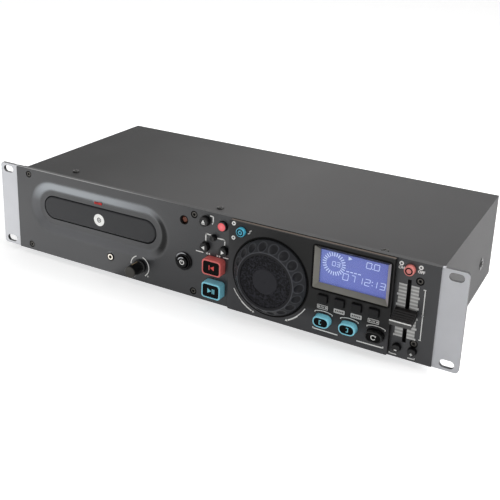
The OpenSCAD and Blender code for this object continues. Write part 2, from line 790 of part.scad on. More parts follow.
// Slotted ear with a leg along the chassis flange; the left one is its mirror image
module rack_ear() {
    h = panel_h / 2;
    edge = panel_w / 2;
    leg_z0 = base_z + 4;
    notch = rim_t + seat;
    lap = fascia_w / 2 + seat;
    difference() {
        union() {
            facing([0, 0], 0) linear_extrude(ear_t) polygon(concat(
                [[ear_in, notch - h], [lap, notch - h], [lap, -h]],
                arc(edge - ear_corner_r, ear_corner_r - h, ear_corner_r, -90, 0, 6),
                arc(edge - ear_corner_r, h - ear_corner_r, ear_corner_r, 0, 90, 6),
                [[lap, h], [lap, h - notch], [ear_in, h - notch]]
            ));
            box([flange_in - ear_t, -eps, leg_z0], [flange_in, ear_leg_d, leg_z0 + ear_leg_h]);
        }
        for (s = [-1, 1])
            slot_cut([slot_pitch_x / 2, s * slot_pitch_z / 2], eps, -ear_t - eps, slot_len, slot_w);
    }
}

module rack_ears() {
    color(steel) {
        rack_ear();
        mirror([1, 0, 0]) rack_ear();
    }
}

// Moulded fascia with the concave oblong and every opening for the controls
module front_fascia() {
    h = panel_h / 2;
    body_half = ear_in - 0.3;
    lap = fascia_w / 2;
    color(dark) difference() {
        union() {
            box([-body_half, face, -h], [body_half, fascia_back, h]);
            box([-lap, face, -h], [lap, -ear_t, h]);
            for (z = [-h, h - rim_t]) {
                box([-body_half, face, z], [body_half, upstand_y, z + rim_t]);
                box([-lap, face, z], [lap, 0, z + rim_t]);
            }
            prism([tray_x, door_z], dish_back, face, oblong(dish_w, dish_h));
            for (p = fascia_screws_at) bar(p, upstand_y, fascia_back - eps, screw_r + screw_wall);
        }
        dish_cut();
        prism([tray_x, door_z], dish_back + eps, dish_floor - eps,
            oblong(door_w + 2 * door_gap, door_h + 2 * door_gap));
        prism(lamp_at, dish_back + eps, dish_floor - eps,
            round_rect(lamp_w + 2 * seat, lamp_h + 2 * seat, 0.6));
        box([block_x0 + block_wall, face - eps, block_z0 + block_wall],
            [block_x1 - block_wall, fascia_back + eps, block_z1 - block_wall]);
        for (b = fascia_rounds) {
            bar(b[0], fascia_back + eps, face - eps, b[1] + button_gap);
            bar(b[0], upstand_y + eps, fascia_back, b[1] + button_lip + air);
        }
        for (p = [cue_at, play_at]) prism(p, eps, face - eps,
            round_rect(key_w + 2 * button_gap, key_h + 2 * button_gap, key_corner));
        bar(power_at, eps, face - eps, power_sleeve_r + seat);
        bar(sensor_at, eps, face - eps, sensor_r);
        bar(aux_at, eps, face - eps, aux_ring_r + seat);
        bar(knob_at, eps, face - eps, pot_bush_r + seat);
        box([fader_at[0] - fader_slot_w / 2, face - eps, fader_at[1] - fader_slot_len / 2],
            [fader_at[0] + fader_slot_w / 2, fascia_back + eps, fader_at[1] + fader_slot_len / 2]);
        for (p = pitch_lamps) bar(p, eps, face - eps, led_r + seat);
        for (p = fascia_screws_at) {
            bar(p, upstand_y + eps, face - eps, screw_r + seat);
            bar(p, face + 1.1, face - eps, screw_head_r + 0.2);
        }
    }
}

// Opening in front of the display: four slopes that meet in mitres
module lcd_cut(lcd_y) {
    slope = lcd_bevel / lcd_depth;
    back = lcd_y + eps;
    front = block_face - eps;
    shrink = slope * eps;
    grow = slope * (lcd_depth + eps);
    wide = [lcd_w / 2 - shrink, lcd_w / 2 + grow];
    high = [lcd_h / 2 - shrink, lcd_h / 2 + grow];
    translate([lcd_at[0], 0, lcd_at[1]]) intersection() {
        translate([0, 0, -lcd_h]) linear_extrude(2 * lcd_h)
            polygon([[-wide[0], back], [wide[0], back], [wide[1], front], [-wide[1], front]]);
        translate([-lcd_w, 0, 0]) rotate([90, 0, 90]) linear_extrude(2 * lcd_w)
            polygon([[back, -high[0]], [back, high[0]], [front, high[1]], [front, -high[1]]]);
    }
}

// Raised hollow block that carries the jog wheel, the display and its keys
module control_block() {
    x0 = block_x0 + block_wall;
    x1 = block_x1 - block_wall;
    z0 = block_z0 + block_wall;
    z1 = block_z1 - block_wall;
    mid = [(block_x0 + block_x1) / 2, (block_z0 + block_z1) / 2];
    frame_w = lcd_w + 2 * lcd_bevel;
    frame_h = lcd_h + 2 * lcd_bevel;
    lcd_y = block_face + lcd_depth;
    color(dark) difference() {
        union() {
            difference() {
                prism(mid, face, block_face, round_rect(block_x1 - block_x0, block_z1 - block_z0, 1.2));
                box([x0, block_back, z0], [x1, face + eps, z1]);
            }
            prism(lcd_at, lcd_y, block_face, round_rect(frame_w + 3, frame_h + 2.2, 2.5));
            for (p = block_bosses) bar(p, front_board_y, block_back - eps, boss_r);
        }
        lcd_cut(lcd_y);
        bar(jog_at, block_back + eps, block_face - eps, jog_r + jog_gap);
        bar(mode_at, block_back + eps, block_face - eps, mode_r + button_gap);
        for (p = display_keys) prism(p, block_back + eps, block_face - eps,
            round_rect(display_key_w + 2 * button_gap, display_key_h + 2 * button_gap, 1.2));
        for (p = loop_buttons) prism(p, block_back + eps, block_face - eps,
            round_rect(loop_w + 2 * button_gap, loop_h + 2 * button_gap, loop_h / 2 - 0.2));
        for (p = jog_lamps) bar(p, block_back + eps, block_face - eps, led_r + seat);
    }
}

// Domed head with a cross recess on a plain shank, head on the plane z = 0, recess upwards
module cross_screw(head_r, head_h, r, len) {
    color(black) difference() {
        union() {
            rotate_extrude() polygon(concat([[0, 0]], [[head_r, 0]],
                arc(head_r - head_h * 0.8, head_h * 0.2, head_h * 0.8, 0, 90, 4), [[0, head_h]]));
            translate([0, 0, -len]) cylinder(h = len + eps / 2, r = r);
        }
        for (a = [0, 90]) rotate([0, 0, a])
            translate([0, 0, head_h]) cube([head_r * 1.1, head_r * 0.28, head_h], center = true);
    }
}

module fascia_screws() {
    for (p = fascia_screws_at) facing(p, face + 1.1)
        cross_screw(screw_head_r, 1, screw_r, upstand_back - face - 1.2);
}

module cover_screws() {
    for (p = cover_screws_at) translate([p[0], p[1], cover_top])
        cross_screw(cover_screw_head_r, 1.3, screw_r, cover_t + sheet_t + 2);
    for (s = [-1, 1])
        for (y = side_screw_y) translate([s * body_w / 2, y, -side_screw_drop]) rotate([0, s * 90, 0])
            cross_screw(cover_screw_head_r, 1.3, screw_r, cover_t + sheet_t + 0.6);
}

module rubber_feet() {
    color(black)
        for (s = [-1, 1])
            for (y = [foot_inset_y, body_d - foot_inset_y])
                translate([s * (body_w / 2 - foot_inset_x), y, base_z - foot_h]) difference() {
                    cylinder(h = foot_h, r1 = foot_r - 1, r2 = foot_r);
                    translate([0, 0, -eps]) cylinder(h = foot_h / 2 + eps, r = foot_r * 0.4);
                }
}

// Clear window on the bottom of the display's slope
module lcd_window() {
    y = block_face + lcd_depth;
    color([0.4, 0.45, 0.8, 0.5])
        prism(lcd_at, y + lcd_window_t, y, round_rect(lcd_w + 2.4, lcd_h + 2.4, 1.5));
}

// Display glass in its metal frame, standing on the front board
module lcd_module() {
    y = block_face + lcd_depth + lcd_window_t;
    frame = 5;
    color([0.35, 0.38, 0.75]) {
        prism(lcd_at, y + 2.6, y, round_rect(lcd_w + 3, lcd_h + 3, 0.8));
        prism(lcd_at, front_board_y, y + 2.6, round_rect(lcd_w + frame, lcd_h + 3, 0.8));
    }
}

// Board behind the fascia with a key switch behind each button
module front_board() {
    color(board_green) difference() {
        union() {
            box([board_x0, front_board_y, board_z0], [board_x1, front_board_y + board_t, board_z1]);
            for (p = switches_at) box([p[0] - switch_w / 2, switch_face, p[1] - switch_w / 2],
                [p[0] + switch_w / 2, front_board_y + eps, p[1] + switch_w / 2]);
        }
        bar(jog_at, front_board_y + board_t + eps, front_board_y - eps, encoder_bush_r + seat);
    }
}

// Jog wheel ring: conical grip with dimples, pad seat and spindle
module jog_ring() {
    rim = jog_face - 0.4;
    seat_y = jog_face + jog_pad_t;
    shelf = block_face - 1.5;
    foot = block_face + 1.5;
    wall = 2.5;
    shoulder = 1;
    top_r = jog_pad_r + jog_rim_w;
    mid_r = (jog_r - shoulder + top_r) / 2;
    mid_y = (shelf - shoulder + rim) / 2;
    slope = atan2(shelf - shoulder - rim, jog_r - shoulder - top_r);
    ball_r = 1.55 * jog_dimple_r;
    lift = sqrt(ball_r * ball_r - jog_dimple_r * jog_dimple_r);
    color(dark) facing(jog_at, 0) difference() {
        rotate_extrude() polygon([
            [0, -seat_y], [jog_pad_r + seat, -seat_y], [jog_pad_r + seat, -rim - 0.2], [top_r, -rim],
            [jog_r - shoulder, shoulder - shelf], [jog_r, -shelf], [jog_r, -foot], [jog_r - wall, -foot],
            [jog_r - wall, -shelf - 0.2], [top_r - wall, -seat_y - wall], [encoder_bush_r, -seat_y - wall],
            [encoder_bush_r, -encoder_face + 1], [jog_pin_r - run_gap, -encoder_face + 1],
            [jog_pin_r - run_gap, -front_board_y - board_t], [0, -front_board_y - board_t]
        ]);
        for (i = [0:jog_dimples - 1]) rotate([0, 0, i * 360 / jog_dimples])
            translate([mid_r + lift * sin(slope), 0, -mid_y + lift * cos(slope)]) sphere(r = ball_r);
    }
}

// Rubber pad with a slightly raised plain middle
module jog_pad() {
    dip = 0.7;
    color(black) facing(jog_at, jog_face + jog_pad_t) rotate_extrude() polygon([
        [0, 0], [jog_pad_r, 0], [jog_pad_r, jog_pad_t - 0.3], [jog_pad_r - 0.6, jog_pad_t],
        [jog_pad_r - 1.6, jog_pad_t - 0.1], [jog_cap_r + 0.8, jog_pad_t - dip],
        [jog_cap_r, jog_pad_t - dip], [jog_cap_r - 0.5, jog_pad_t - 0.1], [0, jog_pad_t]
    ]);
}

// Rotary encoder on the front board, with the bush that carries the wheel's spindle
module jog_encoder() {
    half = 8;
    color(zinc) difference() {
        union() {
            bar(jog_at, front_board_y + board_t + eps, encoder_face, encoder_bush_r);
            box([jog_at[0] - half, front_board_y + board_t, jog_at[1] - half],
                [jog_at[0] + half, front_board_y + board_t + 7, jog_at[1] + half]);
        }
        bar(jog_at, front_board_y + board_t + 1, encoder_face - eps, jog_pin_r);
    }
}

// Slide potentiometer on the front board
module fader_body() {
    half_w = fader_half_w;
    half_l = fader_travel / 2 + 7;
    front = fascia_back + 1.2;
    color(zinc) difference() {
        box([fader_at[0] - half_w, front, fader_at[1] - half_l],
            [fader_at[0] + half_w, front_board_y, fader_at[1] + half_l]);
        box([fader_at[0] - lever_t / 2 - 0.5, front - eps, fader_at[1] - half_l + 2.5],
            [fader_at[0] + lever_t / 2 + 0.5, front_board_y - 1, fader_at[1] + half_l - 2.5]);
    }
}

// Fader cap with finger ridges on its slope, and its lever
module fader_cap() {
    back = face - 1.5;
    tip = face - fader_cap_d;
    top = fader_cap_h * 0.32;
    nose = top - fader_cap_h * 0.63;
    keel = top - fader_cap_h * 0.72;
    ridges = 5;
    depth = 0.7;
    lever_h = 4.4;
    lever_in = 1.5;
    color(black) {
        translate([fader_at[0] - fader_cap_w / 2, 0, fader_at[1]]) rotate([90, 0, 90])
            linear_extrude(fader_cap_w) polygon(concat(
                [[back, keel], [back, top]], ridge_line(back, tip, top, nose, ridges, depth),
                [[tip, nose], [tip + 0.4, top - fader_cap_h]]
            ));
        box([fader_at[0] - lever_t / 2, back - lever_in, fader_at[1] - lever_h / 2],
            [fader_at[0] + lever_t / 2, front_board_y - 1.8, fader_at[1] + lever_h / 2]);
    }
}

// Saw-tooth line from [y0, z0] to [y1, z1] with a flat start
function ridge_line(y0, y1, z0, z1, count, depth) = let(start = 0.2, reach = 0.76) [
    for (i = [0:count - 1]) for (k = [0, 0.45, 0.55])
        let(t = start + reach * (i + k) / count)
        [y0 + (y1 - y0) * t, z0 + (z1 - z0) * t - (k == 0.45 ? depth : 0)]
];

// Volume potentiometer behind the upstand
module volume_pot() {
    half = 8.5;
    color(zinc) difference() {
        union() {
            bar(knob_at, upstand_back + eps, face + 0.4, pot_bush_r);
            box([knob_at[0] - half, upstand_back, knob_at[1] - half],
                [knob_at[0] + half, upstand_back + pot_d, knob_at[1] + half]);
        }
        bar(knob_at, upstand_back + pot_d - 1.5, face - eps, knob_pin_r);
    }
}

// Volume knob with skirt, pointer rib and spindle
module volume_knob() {
    back = face - 0.4;
    tip = back - knob_len;
    pin_end = upstand_back + pot_d - 2.5;
    skirt = 2.2;
    taper = 0.25;
    rib = 0.9;
    color(black) {
        facing(knob_at, 0) rotate_extrude() polygon([
            [0, -tip], [knob_r - taper - 0.7, -tip], [knob_r - taper, -tip - 0.7],
            [knob_r, -back + skirt + 0.4], [knob_skirt_r - 0.4, -back + skirt],
            [knob_skirt_r, -back + skirt - 0.5], [knob_skirt_r, -back],
            [knob_pin_r - run_gap, -back], [knob_pin_r - run_gap, -pin_end], [0, -pin_end]
        ]);
        box([knob_at[0] - rib / 2, tip + 0.8, knob_at[1] + knob_r - 1],
            [knob_at[0] + rib / 2, back - skirt + eps, knob_at[1] + knob_r + 0.35]);
    }
}

// Round button: lip behind the panel, rounded and slightly dished face
module round_button(p, r, panel_back, front, end, dish = 0.35) {
    lip_y = panel_back + seat;
    facing(p, 0) rotate_extrude() polygon(concat(
        [[0, -end], [stem_r, -end], [stem_r, -lip_y - lip_t], [r + button_lip, -lip_y - lip_t],
            [r + button_lip, -lip_y], [r, -lip_y]],
        arc(r - button_edge, -front - button_edge, button_edge, 0, 90, 4), [[0, -front - dish]]
    ));
}

// Button with an outlined face: lip behind the panel, rounded sides, sunk face inside a frame
module outline_button(p, w, h, corner, panel_back, front, end, frame, sink) {
    lip_y = panel_back + seat;
    stem = 2 * stem_r;
    inner_h = h - 2 * frame;
    step = button_edge * 0.3;
    difference() {
        union() {
            hull() {
                prism(p, lip_y + 0.2, front + button_edge, round_rect(w, h, corner, 5));
                prism(p, lip_y, front + step,
                    round_rect(w - 2 * step, h - 2 * step, corner - step, 5));
                prism(p, lip_y, front,
                    round_rect(w - 2 * button_edge, h - 2 * button_edge, corner - button_edge, 5));
            }
            prism(p, lip_y + lip_t, lip_y, round_rect(w + 2 * button_lip, h + 2 * button_lip, corner));
            prism(p, end, lip_y, round_rect(stem, stem, 0.4));
        }
        if (frame > 0) prism(p, front + sink, front - eps,
            round_rect(w - 2 * frame, inner_h, min(corner - frame * 0.6, inner_h / 2 - 0.2), 5));
    }
}

// Stepped ring round the power button
module power_ring() {
    lip = 2.4;
    rear = power_end - power_lip_t - seat;
    bore = power_r + button_gap;
    color(black) facing(power_at, 0) rotate_extrude() polygon([
        [bore, -rear], [power_sleeve_r, -rear], [power_sleeve_r, -face], [power_ring_r, -face],
        [power_ring_r, 1 - face], [power_ring_r - 0.6, 1.6 - face], [power_ring_r - 1.4, 1.2 - face],
        [power_ring_r - 1.9, lip - face], [power_ring_r - 2.6, lip - face], [bore, lip - 0.9 - face]
    ]);
}

module power_button() {
    front = face - 3.8;
    lip_r = power_r + button_lip;
    color(black) facing(power_at, 0) rotate_extrude() polygon(concat(
        [[0, -power_end], [lip_r, -power_end], [lip_r, power_lip_t - power_end],
            [power_r, power_lip_t - power_end]],
        arc(power_r - button_edge, -front - button_edge, button_edge, 0, 90, 4), [[0, -front - 0.5]]
    ));
}

module eject_button() {
    color(black) round_button(eject_at, eject_r, fascia_back, face - round_proud, stem_end);
}
module red_button() {
    color(red) round_button(red_at, red_r, fascia_back, face - 2.8, stem_end, 0.1);
}
module plus_button() {
    color(black) round_button(plus_at, plus_r, fascia_back, face - round_proud, stem_end);
}
module previous_button() {
    color(black) round_button(prev_at, skip_r, fascia_back, face - round_proud, stem_end);
}
module next_button() {
    color(black) round_button(next_at, skip_r, fascia_back, face - round_proud, stem_end);
}
module key_button(p) {
    outline_button(p, key_w, key_h, key_corner, fascia_back, face - key_proud, stem_end, key_frame,
        key_face_in);
}
module cue_button() {
    color(red) key_button(cue_at);
}
module play_button() {
    color(cyan) key_button(play_at);
}
module jog_mode_button() {
    color(cyan) round_button(mode_at, mode_r, block_back, block_face - mode_proud, stem_end);
}
module display_key(i) {
    color(black) outline_button(display_keys[i], display_key_w, display_key_h, 1.2, block_back,
        block_face - display_key_proud, stem_end, 0, 0);
}
module display_key_1() {
    display_key(0);
}
module display_key_2() {
    display_key(1);
}
module display_key_3() {
    display_key(2);
}
module display_key_4() {
    display_key(3);
}
module loop_button(i) {
    outline_button(loop_buttons[i], loop_w, loop_h, loop_h / 2 - 0.2, block_back,
        block_face - loop_proud, stem_end, loop_frame, key_face_in);
}
module loop_in_button() {
    color(cyan) loop_button(0);
}
module loop_out_button() {
    color(cyan) loop_button(1);
}
module reloop_button() {
    color(black) loop_button(2);
}
module pitch_button() {
    color(red) round_button(pitch_at, pitch_r, fascia_back, face - round_proud, stem_end);
}
module bend_minus_button() {
    color(black) round_button(bend_minus_at, bend_r, fascia_back, face - round_proud + 0.6, stem_end);
}
module bend_plus_button() {
    color(black) round_button(bend_plus_at, bend_r, fascia_back, face - round_proud + 0.6, stem_end);
}

// Small round lamps in the block and the fascia, and the drawer lamp's window
module indicator_lamps() {
    color(cream) {
        for (p = jog_lamps) lamp(p, block_back, block_face);
        for (p = pitch_lamps) lamp(p, fascia_back, face);
        prism(lamp_at, dish_back, dish_floor - 0.2, round_rect(lamp_w, lamp_h, 0.5));
    }
}
module lamp(p, back, front) {
    facing(p, 0) rotate_extrude() polygon(concat(
        [[0, -back], [led_r, -back]],
        arc(led_r - 0.6, -front - 0.2, 0.6, 0, 90, 4), [[0, -front + 0.4]]
    ));
}

// Infrared receiver behind its round opening, standing on the front board
module remote_sensor() {
    half = 3.6;
    front = fascia_back + 0.2;
    color([0.28, 0.13, 0.08]) {
        box([sensor_at[0] - half, front, sensor_at[1] - half],
            [sensor_at[0] + half, front_board_y, sensor_at[1] + half]);
        facing(sensor_at, front + eps) cylinder(h = 1.4 + eps, r1 = sensor_r - 0.5, r2 = sensor_r - 1.4);
    }
}

// Aux socket: metal ring through the fascia and a body behind it
module aux_socket() {
    half = 4.5;
    body_l = 12;
    color(steel) difference() {
        union() {
            bar(aux_at, fascia_back + eps, face - 0.6, aux_ring_r);
            box([aux_at[0] - half, fascia_back, aux_at[1] - half],
                [aux_at[0] + half, fascia_back + body_l, aux_at[1] + half]);
        }
        bar(aux_at, fascia_back + body_l - 1.5, face - 1, aux_bore_r);
    }
}

// Loader frame: side walls with guides, front deck, rear bar with hinge lugs, four posts
module loader_frame() {
    ledge_t = 3;
    ledge_z = tray_bottom - tray_play;
    lip_z = tray_top + tray_play;
    rear_d = 8;
    post_r = 5;
    post_top = loader_z0 + 4;
    color(black) translate([tray_x, 0, 0]) difference() {
        union() {
            for (s = [-1, 1]) {
                mirror([s < 0 ? 1 : 0, 0, 0]) {
                    box([loader_in, loader_y0, loader_z0], [loader_out, loader_y1, loader_z1]);
                    box([ledge_in, loader_y0, ledge_z - ledge_t], [loader_in + eps, loader_y1, ledge_z]);
                    box([lip_in, loader_y0, lip_z], [loader_in + eps, loader_y1, lip_z + 1.7]);
                    box([hinge_lug_x, hinge_y - 6, loader_z0],
                        [hinge_lug_x + lug_t, loader_y1, hinge_z + 4.5]);
                    for (y = [loader_y0 + post_r + 7, loader_y1 - post_r])
                        translate([loader_in - post_r + 1, y, pan_z])
                            cylinder(h = (y < spindle_y ? deck_z - eps : post_top) - pan_z, r = post_r);
                }
            }
            box([-loader_in - eps, loader_y0, deck_z - deck_t], [loader_in + eps, deck_y1, deck_z]);
            box([-loader_in - eps, loader_y1 - rear_d, loader_z0],
                [loader_in + eps, loader_y1, loader_z0 + 9]);
            translate([drive_at[0], drive_at[1], deck_z - eps])
                cylinder(h = tray_bottom - 0.6 - deck_z + eps, r = drive_pin_r);
        }
        translate([motor_at[0], motor_at[1], deck_z - deck_t - eps])
            cylinder(h = deck_t + 2 * eps, r = motor_boss_r + seat);
        translate([-hinge_lug_x - lug_t - eps, hinge_y, hinge_z]) rotate([0, 90, 0])
            cylinder(h = 2 * (hinge_lug_x + lug_t + eps), r = hinge_r + run_gap);
    }
}

// Drawer door: oblong plate with a bevelled front edge
module tray_door() {
    edge = 1;
    color(dark) hull() {
        prism([tray_x, door_z], door_back, door_front + edge, oblong(door_w, door_h));
        prism([tray_x, door_z], door_back, door_front, oblong(door_w - 2 * edge, door_h - 2 * edge));
    }
}

// Disc tray with two wells, the pickup slot open to the rear, and the rack below
module disc_tray() {
    half = tray_half;
    end = tray_front + tray_len;
    finger_r = 14;
    color(black) translate([tray_x, 0, 0]) {
        difference() {
            box([-half, tray_front, tray_bottom], [half, end, tray_top]);
            translate([0, spindle_y, well_floor]) cylinder(h = tray_t, r = well_r);
            translate([0, spindle_y, well_floor - small_well_depth]) cylinder(h = tray_t, r = small_well_r);
            translate([0, spindle_y, tray_bottom - eps]) cylinder(h = tray_t, r = pickup_slot_w / 2);
            box([-pickup_slot_w / 2, spindle_y, tray_bottom - eps],
                [pickup_slot_w / 2, end + eps, tray_top + eps]);
        }
        translate([rack_x, drive_y, tray_bottom - rack_h]) linear_extrude(rack_h + eps)
            polygon(rack_outline(tray_front + 2 - drive_y, end - drive_y, gear_module, rack_t));
    }
}

// Bridge over the tray that carries the clamper
module clamp_bridge() {
    color(zinc) translate([tray_x, spindle_y, 0]) difference() {
        union() {
            box([-loader_out, -bridge_d / 2, bridge_z], [loader_out, bridge_d / 2, bridge_z + bridge_t]);
            for (s = [-1, 1]) mirror([s < 0 ? 1 : 0, 0, 0])
                box([loader_in, -bridge_d / 2, loader_z1], [loader_out, bridge_d / 2, bridge_z + eps]);
            for (y = [-bridge_d / 2, bridge_d / 2 - bridge_rib])
                box([-loader_out, y, bridge_z], [loader_out, y + bridge_rib, bridge_z + bridge_t + 3]);
        }
        translate([0, 0, bridge_z - eps]) cylinder(h = bridge_t + 2 * eps, r = clamper_neck_r + 1);
    }
}

// Clamper: disc below the bridge, neck through it, flange above it
module disc_clamper() {
    flange_z = bridge_z + bridge_t + 0.3;
    color(cream) translate([tray_x, spindle_y, 0]) rotate_extrude() polygon([
        [0, clamper_z + cone_h - disc_t + 0.4], [cone_r + 0.6, clamper_z + cone_h - disc_t + 0.4],
        [cone_r + 0.6, clamper_z], [clamper_r, clamper_z], [clamper_r, bridge_z - 1],
        [clamper_neck_r, bridge_z - 1], [clamper_neck_r, flange_z], [clamper_r + 1, flange_z],
        [clamper_r + 1, flange_z + 1.6], [0, flange_z + 1.6]
    ]);
}

// Traverse frame with rod blocks, motor seats and hinge pins
module traverse() {
    color(zinc) translate([tray_x, 0, 0]) difference() {
        union() {
            difference() {
                box([-traverse_half, traverse_y0, traverse_z0], [traverse_half, traverse_y1, traverse_z1]);
                box([-window_half, window_y0, traverse_z0 - eps],
                    [window_half, window_y1, traverse_z1 + eps]);
            }
            for (x = [-rod_x, rod_x])
                for (y = [window_y0 - rod_block, window_y1])
                    box([x - rod_block, y, traverse_z1 - eps],
                        [x + rod_block, y + rod_block, tray_bottom - 0.6]);
            translate([-hinge_lug_x - lug_t, hinge_y, hinge_z]) rotate([0, 90, 0])
                cylinder(h = 2 * (hinge_lug_x + lug_t), r = hinge_r);
        }
        for (x = [-rod_x, rod_x]) translate([x, window_y0 - rod_block - eps, rod_z]) rotate([-90, 0, 0])
            cylinder(h = window_y1 - window_y0 + 2 * rod_block + 2 * eps, r = rod_r + 0.02);
        for (p = motor_places) translate([p[0] - tray_x, p[1], traverse_z0 - eps])
            cylinder(h = traverse_t + 2 * eps, r = motor_boss_r + seat);
    }
}

module guide_rods() {
    color(steel)
        for (x = [-rod_x, rod_x]) translate([tray_x + x, window_y0 - rod_block, rod_z]) rotate([-90, 0, 0])
            cylinder(h = window_y1 - window_y0 + 2 * rod_block, r = rod_r);
}

// Turntable with centring cone and the spindle that runs in its motor
module turntable() {
    z0 = disc_plane - turntable_h;
    color(black) translate([tray_x, spindle_y, 0]) rotate_extrude() polygon([
        [0, traverse_z0 - motor_h + 2], [motor_shaft_r - run_gap, traverse_z0 - motor_h + 2],
        [motor_shaft_r - run_gap, traverse_z1 + 2], [4, traverse_z1 + 2], [4, z0], [turntable_r, z0],
        [turntable_r, disc_plane], [cone_r, disc_plane], [cone_r - 0.2, disc_plane + 1.4],
        [cone_r - 1.4, disc_plane + cone_h], [0, disc_plane + cone_h]
    ]);
}

// Flat motor hanging below the plane z = 0, with a raised bush and a bore for the spindle
module flat_motor(shaft) {
    rotate_extrude() polygon([
        [shaft, 1], [motor_boss_r, 1], [motor_boss_r, 0], [motor_r, 0], [motor_r, 1 - motor_h],
        [motor_r - 1, -motor_h], [shaft, -motor_h]
    ]);
}

module traverse_motors() {
    color(steel)
        for (p = motor_places) translate([p[0], p[1], traverse_z0]) flat_motor(motor_shaft_r);
}

// Pickup sled: body on two rods, rack at its side, lens holder on top
module pickup_sled() {
    sleeve = rod_block;
    rack_z = sled_gear_z;
    rack_w = sled_rack_x - rod_x - rod_block - 0.6;
    lens_y = sled_y + 9;
    color(cream) translate([tray_x, 0, 0]) {
        difference() {
            union() {
                box([-sled_half, sled_y, sled_z0], [sled_half, sled_y + sled_len, sled_z1]);
                for (x = [-rod_x, rod_x])
                    box([x - sleeve, sled_y, rod_z - 3], [x + sleeve, sled_y + sled_len, rod_z + 2.4]);
                translate([0, lens_y, sled_z1 - eps]) cylinder(h = 2 + eps, r = 6);
            }
            for (x = [-rod_x, rod_x]) translate([x, sled_y - eps, rod_z]) rotate([-90, 0, 0])
                cylinder(h = sled_len + 2 * eps, r = rod_r + run_gap);
        }
        translate([0, lens_y, sled_z1 + 2 - eps]) cylinder(h = 1 + eps, r1 = 3, r2 = 2.2);
        translate([-sled_rack_x, sled_gear_at[1], rack_z]) linear_extrude(sled_gear_h)
            polygon(rack_outline(-sled_travel - 4, 4.8, gear_module, rack_w));
        box([rack_w - eps - sled_rack_x, sled_y, rack_z],
            [eps - rod_x - sleeve, sled_y + sled_len, sled_z1 - 1]);
    }
}

module sled_gear() {
    color(cream) translate([sled_gear_at[0], sled_gear_at[1], 0]) {
        translate([0, 0, sled_gear_z]) linear_extrude(sled_gear_h)
            polygon(gear_outline(sled_teeth, gear_module));
        translate([0, 0, traverse_z0 - motor_h + 2])
            cylinder(h = sled_gear_z - traverse_z0 + motor_h - 2 + eps, r = motor_shaft_r - run_gap);
    }
}

// Loading motor below the deck; its shaft carries the small pulley
module loading_motor() {
    color(steel) translate([tray_x + motor_at[0], motor_at[1], 0]) {
        translate([0, 0, deck_z - deck_t]) flat_motor(0);
        translate([0, 0, deck_z - deck_t]) cylinder(h = deck_t + 0.4 + pulley_h, r = motor_shaft_r);
    }
}

// Grooved wheel on the plane z = 0
module pulley(groove_r, bore_r) {
    f = groove_r + pulley_flange;
    rim = (pulley_h - belt_h - 0.4) / 2;
    rotate_extrude() polygon([
        [bore_r, 0], [f, 0], [f, rim * 0.6], [groove_r, rim], [groove_r, pulley_h - rim],
        [f, pulley_h - rim * 0.6], [f, pulley_h], [bore_r, pulley_h]
    ]);
}

module motor_pulley() {
    color(cream) translate([tray_x + motor_at[0], motor_at[1], pulley_z])
        pulley(motor_pulley_r, motor_shaft_r + run_gap);
}

module drive_belt() {
    z = pulley_z + (pulley_h - belt_h) / 2;
    color(black) translate([tray_x, 0, z]) difference() {
        hull() belt_rounds(belt_gap + belt_t, 0, belt_h);
        hull() belt_rounds(belt_gap, -eps, belt_h + 2 * eps);
    }
}
module belt_rounds(grow, z, h) {
    translate([drive_at[0], drive_at[1], z]) cylinder(h = h, r = drive_pulley_r + grow);
    translate([motor_at[0], motor_at[1], z]) cylinder(h = h, r = motor_pulley_r + grow);
}

// Pulley and pinion in one moulding
module drive_gear() {
    gear_z = tray_bottom - rack_h;
    color(cream) translate([tray_x + drive_at[0], drive_at[1], 0]) difference() {
        union() {
            translate([0, 0, pulley_z]) pulley(drive_pulley_r, drive_pin_r);
            translate([0, 0, pulley_z + pulley_h - eps])
                cylinder(h = gear_z - pulley_z - pulley_h + 2 * eps, r = 6);
            translate([0, 0, gear_z]) linear_extrude(rack_h - 0.4)
                polygon(gear_outline(drive_teeth, gear_module));
        }
        translate([0, 0, pulley_z - eps]) cylinder(h = 20, r = drive_pin_r + run_gap);
    }
}

// Main board on posts, with capacitors, a heat sink and connectors
module main_board() {
    w = main_board_w;
    d = main_board_d;
    cap_r = 6.5;
    part_h = 22;
    chip = [w / 7, d / 5.4, 2.4];
    fin_t = 2;
    fins = 6;
    sink = [w / 5, d / 6, 3];
    plug = [w / 4, 6, 8];
    color(board_green) translate([main_x0, main_y0, pan_z + main_board_h]) {
        cube([w, d, board_t]);
        for (i = [1:3]) translate([w * 0.75, d * (0.06 + i * 0.2), board_t]) cylinder(h = part_h, r = cap_r);
        for (x = [0.16, 0.42]) translate([w * x, d * 0.34, board_t]) cube(chip);
        translate([w * 0.12, d * 0.72, board_t]) {
            cube(sink);
            for (i = [0:fins - 1]) translate([i * (sink[0] - fin_t) / (fins - 1), 0, sink[2]])
                cube([fin_t, sink[1], part_h - sink[2]]);
        }
        translate([w * 0.14, d * 0.04, board_t]) cube(plug);
    }
}

// Laminated transformer on two feet, with its winding
module transformer() {
    foot_t = 1.5;
    coil = core_w / 6;
    coil_half = core_w / 3;
    color(zinc) translate([core_x, core_y, pan_z]) {
        box([-core_w / 2, 0, foot_t], [core_w / 2, core_d, foot_t + core_h]);
        box([-core_w / 2 - core_foot, 2, 0], [core_w / 2 + core_foot, core_d - 2, foot_t]);
        for (y = [-coil, core_d])
            box([-coil_half, y, core_h / 6], [coil_half, y + coil, core_h * 0.9]);
    }
}

